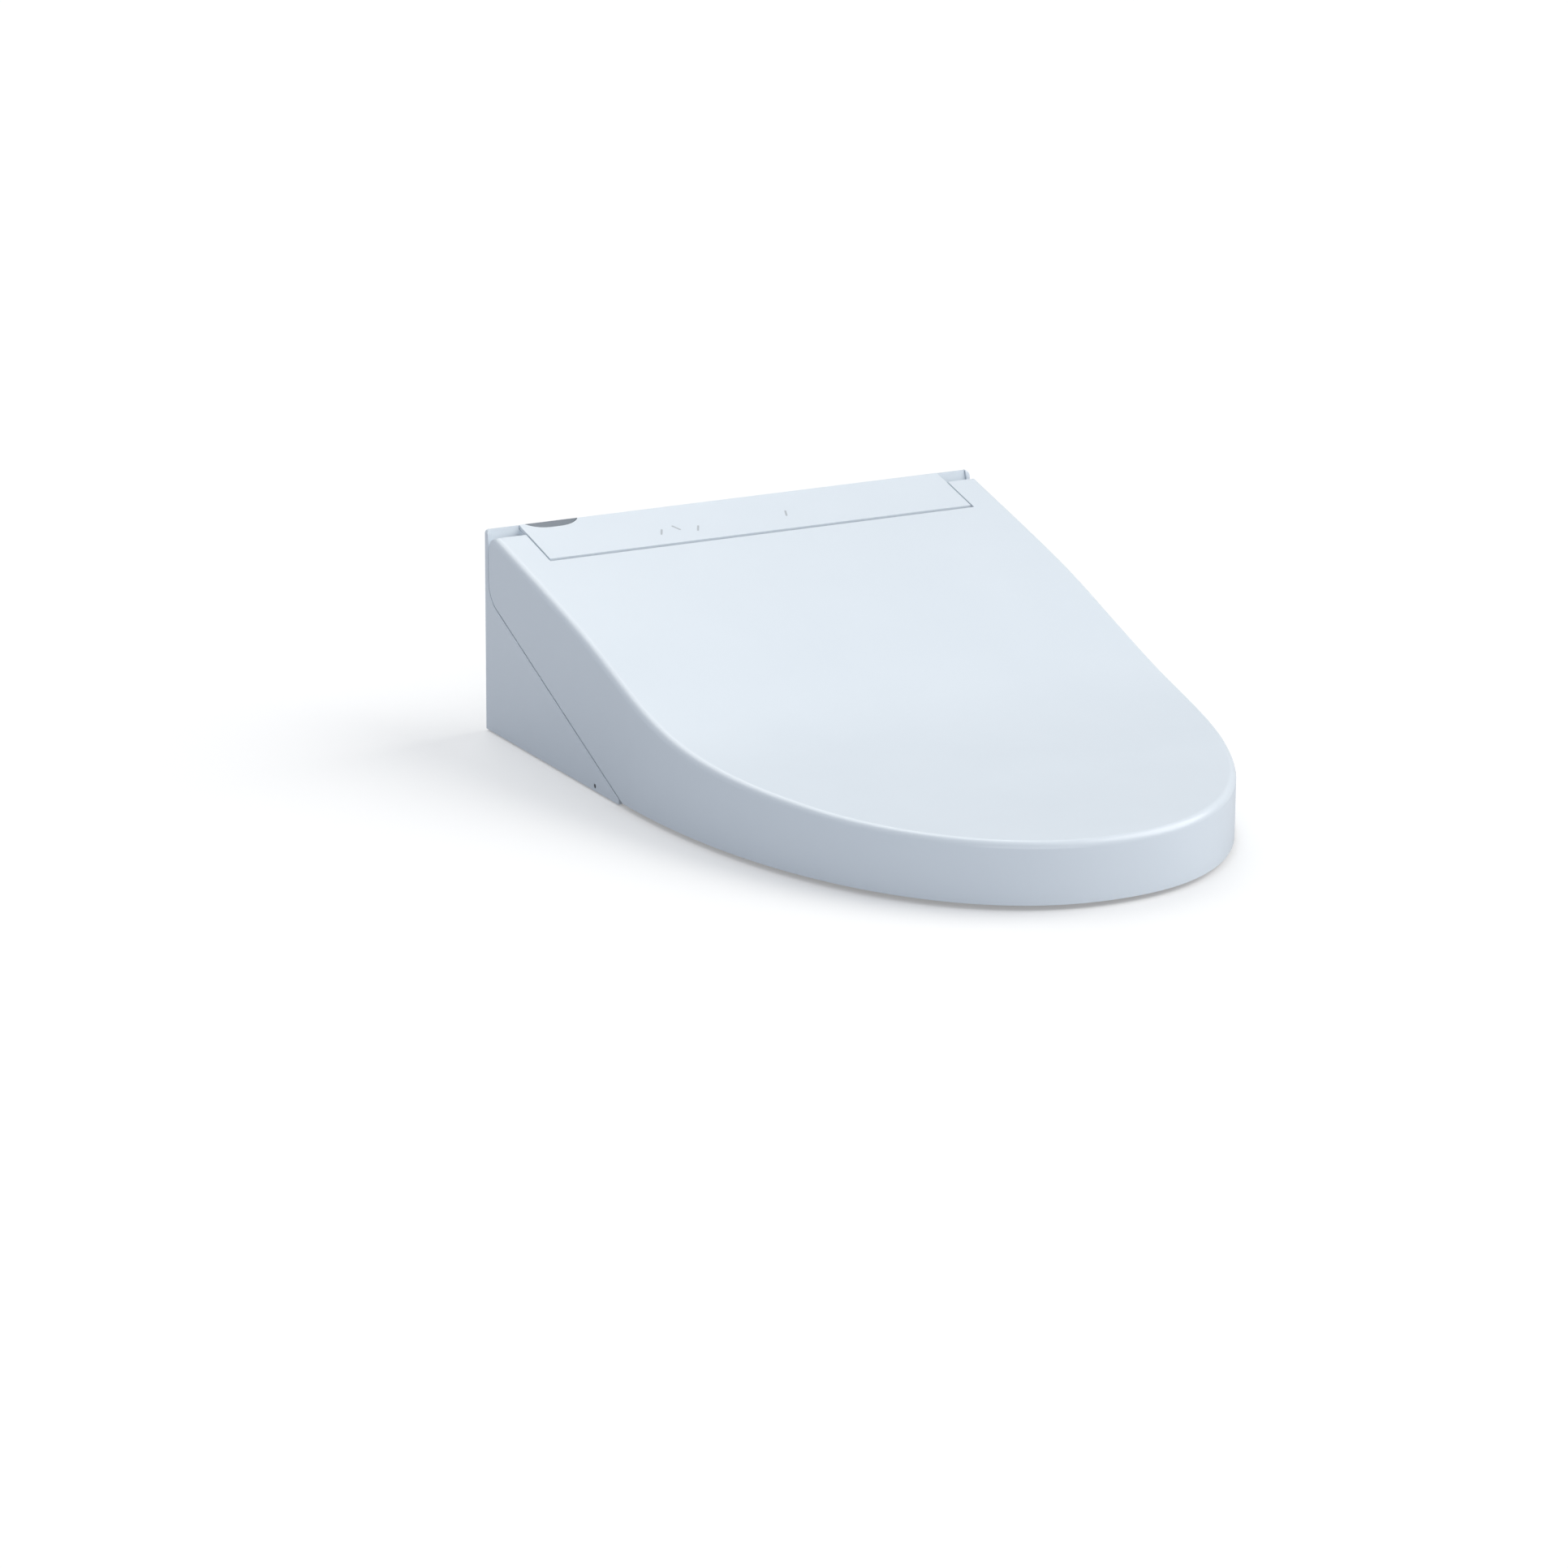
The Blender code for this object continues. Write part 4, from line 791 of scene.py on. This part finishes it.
def panel_outline():
    y0, y1 = PANEL_FRONT, REAR_Y
    outline = [(y0, panel_top(y0) - PANEL_THICK), (y0, panel_top(y0)), (y1 - 1.5, panel_top(y1 - 1.5))]
    return outline + [(y1, panel_top(y1) - 1.5), (y1, panel_top(y1) - PANEL_THICK)]


def window_plan(name, grow):
    """The window's plan: a bow with pointed ends, its straight side on the rear edge."""
    middle, half = 0.5 * (WINDOW_X[0] + WINDOW_X[1]), 0.5 * (WINDOW_X[1] - WINDOW_X[0])
    depth = REAR_Y - WINDOW_Y
    points = []
    for k in range(33):
        t = -1 + k / 16
        points.append((middle + t * half * (1 + grow / 14), REAR_Y - depth * (1 - abs(t) ** 3) - grow))
    points += [(points[-1][0], REAR_Y + 10), (points[0][0], REAR_Y + 10)]
    return prism(name, "Z", points, 120, 160)


def make_panel():
    """The top panel, its infrared window, and the faint printed bars that stand for its marks."""
    panel = prism("control_cover", "X", panel_outline(), -PANEL_HALF, PANEL_HALF)
    cut(panel, window_plan("window_slot", GAP))
    dress_white(baked(panel), "unit", "top_panel", width=0.45, segments=3)
    window = prism("signal_window", "X", panel_outline(), *WINDOW_X)
    combine(window, window_plan("window_bow", 0.0), "INTERSECT")
    dress(baked(window), LOOKS["smoked_window"], "smoked_window", "unit", "infrared_window", width=0.15)

    tilt = Matrix.Rotation(math.atan(PANEL_SLOPE), 4, "X")
    for k, (x, y, turn) in enumerate(PANEL_MARKS):
        mark = prism(f"panel_mark_{k}", "Z", rounded(-4.0, 4.0, -0.7, 0.7, 0.6, 6), -0.2, 0.08)
        spin = Matrix.Rotation(math.radians(turn), 4, "Z")
        moved(mark, shift(x, y, panel_top(y)) @ tilt @ spin)
        dress(mark, LOOKS["panel_print"], "white_plastic", "unit", width=0)


# ---------------------------------------------------------------- spray wand, doors and button
def along_wand(body):
    """Turn a piece modelled with its length on +Y and its top on +Z onto the wand's axis."""
    return moved(body, shift(0, WAND_TIP_Y, WAND_TIP_Z) @ Matrix.Rotation(WAND_ANGLE, 4, "X"))


def turned_along_wand(body):
    """The same for a lathed piece, whose length is on +Z."""
    return along_wand(moved(body, Matrix.Rotation(-QUARTER, 4, "X")))


def make_wand():
    r = WAND_RADIUS
    tube = [(r - 1.2, 14.0), (r - 0.4, 14.0), (r, 14.5), (r, 22.0), (r - 0.35, 22.3)]
    tube += [(r - 0.35, 23.2), (r, 23.5), (r, WAND_LENGTH - 1.0), (r - 1.0, WAND_LENGTH)]
    body = turned_along_wand(lathe("wand_tube", tube, 48))
    dress(body, LOOKS["steel"], "steel", "wand", "nozzle_wand", width=0)
    nose = [(0.2, 0.0)]
    for k in range(1, 7):
        angle = QUARTER * k / 6
        nose.append((r - 3.0 + 3.0 * math.sin(angle), 3.0 - 3.0 * math.cos(angle)))
    nose += [(r, 13.2), (r - 0.5, 13.7)]
    tip = turned_along_wand(lathe("wand_nose", nose, 48))
    for k in range(3):
        hole = cylinder(f"spray_hole_{k}", "Z", 0, 4.0 + 2.6 * k, 0.8, 3.0, 9.0, 16)
        cut(tip, along_wand(hole))
    dress(baked(tip), LOOKS["inner_white"], "white_plastic", "wand", "nozzle_tip", width=0)


def make_doors():
    """The two sprung doors in the unit's front wall, each with a thin raised lip."""
    y = DOOR_Y
    doors = (("shutter_door", "shutter", "nozzle_shutter", -23.4, 23.4, 13.2),
             ("air_door", "flap", "air_flap", AIR_X[0] + 0.6, AIR_X[1] - 0.6, 9.0))
    for name, rides, node, x0, x1, z0 in doors:
        door = box(name, x0, x1, y - 0.6, y + 1.0, z0, DOOR_TOP)
        join(door, box(f"{name}_lip", x0 + 1.5, x1 - 1.5, y - 1.0, y, z0 + 0.8, z0 + 2.4))
        dress_white(baked(door), rides, node, width=0.25, segments=2)


def make_button():
    """The release button: a collar inside the case and a dished cap."""
    face = COVER_FACE
    profile = [(6.0, 170.0), (9.2, 170.0), (9.5, 170.3), (9.5, 183.7), (9.2, 184.0), (7.0, 184.0)]
    profile += [(7.0, face - 0.9), (6.8, face - 0.3), (6.2, face), (5.4, face), (4.0, face - 0.35)]
    profile += [(2.0, face - 0.6), (0.3, face - 0.65)]
    cap = lathe("release_cap", profile, 64)
    moved(cap, Matrix.Translation(place("X", BUTTON_Y, BUTTON_Z, 0)) @ Matrix.Rotation(QUARTER, 4, "Y"))
    dress_white(cap, "button", "release_button", width=0)


# ---------------------------------------------------------------- outside fittings
def make_fixings():
    """Threaded bolts, ribbed rubber bushes and chamfered nuts below the mounting plate."""
    for side, word in ((-1, "left"), (1, "right")):
        x = side * BOLT_X
        profile, thread = screwed(-60.5, -2.0, BOLT_RADIUS, 1.75, 0.75)
        head = [(BOLT_RADIUS, 3.9), (7.2, 3.9), (7.5, 4.1), (7.5, 4.6), (7.1, 4.9)]
        profile = [(2.6, -62.0), (3.2, -61.6)] + profile + head
        bolt = moved(lathe(f"clamp_bolt_{word}", profile, 36, thread), shift(x, 0, 0))
        slot_cut = moved(box(f"bolt_slot_{word}", -5.0, 5.0, -0.8, 0.8, 4.2, 6.0), shift(x, 0, 0))
        dress(baked(cut(bolt, slot_cut)), LOOKS["steel"], "steel", "mount", f"fixing_bolt_{word}", width=0)

        top, low = -DECK_THICK, -DECK_THICK - BUSH_LENGTH
        rings = [(4.3, low + 0.1), (9.6, low + 0.1), (10.2, low + 0.6)]
        for k in range(4):
            z, wide = low + 2.2 + 2.6 * k, 0.35 * k
            rings += [(10.4 + wide, z), (9.6 + wide, z + 0.5), (9.6 + wide, z + 1.2)]
            rings.append((10.5 + wide, z + 1.7))
        rings += [(11.7, top - 1.2), (12.0, top - 0.7), (11.6, top - 0.1), (4.3, top - 0.1)]
        bush = moved(lathe(f"clamp_bush_{word}", rings, 56), shift(x, 0, 0))
        bore = cylinder(f"bush_bore_{word}", "Z", x, 0, BOLT_BORE_RADIUS, low - 2, top + 2, 40)
        dress(baked(cut(bush, bore)), LOOKS["rubber"], "rubber", "mount", f"rubber_bush_{word}", width=0)

        low, top = low - NUT_LENGTH, low - GAP
        nut = cylinder(f"clamp_nut_{word}", "Z", x, 0, 10.0, low, top, 6)
        cone = [(8.7, low - 0.2), (10.2, low + 1.4), (10.2, top - 3.0), (8.9, top - 2.2)]
        cone += [(8.9, top - 1.4), (10.0, top - 1.0), (10.0, top + 0.2)]
        combine(nut, moved(lathe(f"nut_cone_{word}", cone, 64), shift(x, 0, 0)), "INTERSECT")
        cut(nut, cylinder(f"nut_bore_{word}", "Z", x, 0, BOLT_BORE_RADIUS, low - 2, top + 2, 40))
        node = f"fixing_nut_{word}"
        dress(baked(nut), LOOKS["grey_plastic"], "grey_plastic", "mount", node, width=0.25, segments=2)


def make_plate():
    """The mounting plate: long bolt slots with raised rims, a rim all round and shallow ribs."""
    plate = prism("slide_plate", "Z", rounded(-PLATE_HALF, PLATE_HALF, -34, 46, 8), 0.0, 3.6)
    cut(plate, prism("plate_tray", "Z", rounded(-PLATE_HALF + 4, PLATE_HALF - 4, -30, 42, 6), 2.8, 6.0))
    for side in (-1, 1):
        x = side * BOLT_X
        join(plate, prism(f"slot_rim_{side}", "Z", rounded(x - 21, x + 21, -11, 11, 8), 1.0, 3.6))
        cut(plate, prism(f"plate_slot_{side}", "Z", rounded(x - 14, x + 14, -4.4, 4.4, 4.3), -5, 10))
    for k in range(5):
        x = -36.0 + 18.0 * k
        join(plate, box(f"plate_rib_{k}", x - 0.9, x + 0.9, -31, 43, 1.0, 3.5))
    look = LOOKS["grey_plastic"]
    dress(baked(plate), look, "grey_plastic", "mount", "mounting_plate", width=0.3, segments=2)


def make_screws():
    for side, word in ((-1, "left"), (1, "right")):
        for y, spot in zip(SCREW_Y, ("rear", "front")):
            x = side * SCREW_X
            profile, thread = screwed(6.0, 45.0, 1.6, 1.3, 0.35)
            head = [(2.6, 2.2), (3.4, 2.35), (3.8, 2.9), (3.8, 4.3), (3.4, 4.9), (1.6, 4.9)]
            screw = lathe(f"screw_{spot}_{word}", head + profile + [(0.5, 46.0)], 20, thread)
            for k in range(2):
                arm = box(f"cross_{spot}_{word}_{k}", -2.2, 2.2, -0.45, 0.45, 1.0, 3.2)
                cut(screw, moved(arm, Matrix.Rotation(k * QUARTER, 4, "Z")))
            moved(baked(screw), shift(x, y, 0))
            dress(screw, LOOKS["steel"], "steel", "unit", f"case_screw_{spot}_{word}", width=0)


def make_inlet():
    """The threaded water inlet, the drain plug and the cord gland's collar."""
    profile, thread = screwed(36.0, REAR_Y - 1.5, 10.0, 1.8, 0.7)
    profile = [(9.0, 30.0), (10.0, 31.0)] + profile + [(9.2, REAR_Y - 0.5)]
    nipple = lathe("inlet_nipple", profile, 56, thread)
    turn = Matrix.Translation(place("Y", INLET_X, INLET_Z, 0)) @ Matrix.Rotation(-QUARTER, 4, "X")
    moved(nipple, turn)
    cut(nipple, cylinder("inlet_bore", "Y", INLET_X, INLET_Z, 7.0, 34.0, REAR_Y + 5, 48))
    dress(baked(nipple), LOOKS["steel"], "steel", "unit", "water_inlet", width=0)

    head = [(5.2, 1.6), (5.8, 1.8), (6.0, 2.2), (6.0, 3.6), (5.4, 4.0), (5.4, 4.8)]
    head += [(6.0, 5.2), (6.0, 9.2), (5.6, 9.6)]
    plug = moved(lathe("drain_cap", head, 48), shift(DRAIN_X, DRAIN_Y, 0))
    coin = moved(box("coin_slot", -4.2, 4.2, -0.8, 0.8, 0.0, 2.8), shift(DRAIN_X, DRAIN_Y, 0))
    look = LOOKS["grey_plastic"]
    dress(baked(cut(plug, coin)), look, "grey_plastic", "unit", "drain_plug", width=0.15, segments=2)

    rings = [(8.0, 50.0), (9.6, 50.2), (10.0, 50.8), (10.0, 57.3), (9.6, 57.9), (7.0, 57.9)]
    rings += [(7.0, REAR_Y - 1.0), (6.5, REAR_Y - 0.4)]
    gland = lathe("cord_inlet", rings, 48)
    moved(gland, Matrix.Translation(place("Y", GLAND_X, GLAND_Z, 0)) @ Matrix.Rotation(-QUARTER, 4, "X"))
    cut(gland, cylinder("gland_bore", "Y", GLAND_X, GLAND_Z, 4.0, 40, 80, 32))
    look = LOOKS["dark_plastic"]
    dress(baked(gland), look, "dark_plastic", "unit", "cord_gland", width=0.2, segments=2)


# ---------------------------------------------------------------- carried-over CAD nodes
PLAIN_EDGE_WIDTH = 0.3  # millimetres of rounding on the CAD parts that are shown as they are
EDGE_WIDTH = {  # the same for the parts that need less or none
    "lid_bumper_left": 0, "lid_bumper_right": 0, "seat_bumper_front_left": 0,
    "seat_bumper_front_right": 0, "seat_bumper_rear_left": 0, "seat_bumper_rear_right": 0,
    "inlet_hose": 0, "tank_hose": 0, "seat_heater_sheet": 0, "water_heater_tank": 0,
    "nozzle_pinion": 0.12, "nozzle_rack": 0.12, "dryer_impeller": 0.15, "deodoriser_fan": 0.15,
    "control_board": 0.12, "power_board": 0.12,
}


def finish_cad_nodes():
    """Every CAD node that is still shown gets its slot's material and slightly rounded edges."""
    slots = {part["node"]: part["material_slot"] for part in frame["record"]["subparts"]}
    hidden = {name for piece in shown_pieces() for name in piece.get("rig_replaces", [])}
    for name, node in frame["nodes"].items():
        if name in hidden:
            continue
        node.data.materials.clear()
        node.data.materials.append(LOOKS[slots[name]])
        weld = node.modifiers.new("joined_corners", "WELD")
        weld.merge_threshold = 0.005 * MM
        width = EDGE_WIDTH.get(name, PLAIN_EDGE_WIDTH)
        if width:
            soften(node, width, 2)


# ---------------------------------------------------------------- floor, light and camera
def make_floor():
    """Pale paper that looks white and throws less light back up than it shows."""
    bm = bmesh.new()
    bmesh.ops.create_grid(bm, x_segments=2, y_segments=2, size=STAGE_SIZE)
    floor = new_object("studio_floor", bm)
    floor.location.z = STAGE_Z
    made, tree, shader = shader_tree("studio_paper")
    cloud = noise(tree, 1.5, 1.0)
    low, high = PAPER_WHITE - FLOOR_GLOW, 1.0 - FLOOR_GLOW
    seen = mixed(tree, cloud, (low, low, low), (high, high, high))
    path = tree.nodes.new("ShaderNodeLightPath").outputs["Is Camera Ray"]
    tree.links.new(mixed(tree, path, FLOOR_BOUNCE, seen), shader.inputs["Base Color"])
    shader.inputs["Emission Color"].default_value = (1, 1, 1, 1)
    glow = ranged(tree, path, 0.0, FLOOR_GLOW, 0.0, 1.0)
    tree.links.new(glow, shader.inputs["Emission Strength"])
    shader.inputs["Roughness"].default_value = 0.9
    shader.inputs["Specular IOR Level"].default_value = 0.1
    floor.data.materials.append(made)


def make_light():
    """Three soft suns and pale air, which the camera sees as white."""
    world = bpy.data.worlds.new("studio_air")
    bpy.context.scene.world = world
    world.use_nodes = True
    tree = world.node_tree
    background = tree.nodes["Background"]
    background.inputs["Color"].default_value = (*AIR_COLOUR, 1)
    background.inputs["Strength"].default_value = AIR_LIGHT
    white = tree.nodes.new("ShaderNodeBackground")
    white.inputs["Strength"].default_value = 1.0
    white.inputs["Color"].default_value = (1, 1, 1, 1)
    path = tree.nodes.new("ShaderNodeLightPath")
    either = tree.nodes.new("ShaderNodeMixShader")
    tree.links.new(path.outputs["Is Camera Ray"], either.inputs[0])
    tree.links.new(background.outputs[0], either.inputs[1])
    tree.links.new(white.outputs[0], either.inputs[2])
    tree.links.new(either.outputs[0], tree.nodes["World Output"].inputs["Surface"])
    for name, towards, strength, softness, colour in LIGHTS:
        data = bpy.data.lights.new(name, "SUN")
        data.energy = strength
        data.angle = math.radians(softness)
        data.color = colour
        light = bpy.data.objects.new(name, data)
        light.rotation_euler = Vector(towards).to_track_quat("Z", "Y").to_euler()
        light.location = Vector(towards).normalized() * 3
        bpy.context.scene.collection.objects.link(light)


def make_camera():
    """The photograph's viewpoint: 28 degrees to the left of the front and 17 degrees above."""
    a, e, roll = (math.radians(v) for v in CAMERA_ANGLES)
    back = Vector((math.sin(a) * math.cos(e), -math.cos(a) * math.cos(e), math.sin(e)))
    right = (-back).cross(Vector((0, 0, 1))).normalized()
    up = right.cross(-back)
    c, s = math.cos(roll), math.sin(roll)
    turned = Matrix((c * right + s * up, c * up - s * right, back)).transposed().to_4x4()
    data = bpy.data.cameras.new("camera")
    data.lens, data.sensor_width = CAMERA_LENS, CAMERA_SENSOR
    data.clip_end = 100.0
    camera = bpy.data.objects.new("camera", data)
    bpy.context.scene.collection.objects.link(camera)
    camera.matrix_world = Matrix.Translation(CAMERA_PLACE) @ turned
    bpy.context.scene.camera = camera


make_lid()
make_seat()
make_upper_case()
make_lower_case()
make_covers()
make_panel()
make_wand()
make_doors()
make_button()
make_fixings()
make_plate()
make_screws()
make_inlet()
finish_cad_nodes()
make_floor()
make_light()
make_camera()
bpy.context.scene.view_settings.view_transform = "Standard"
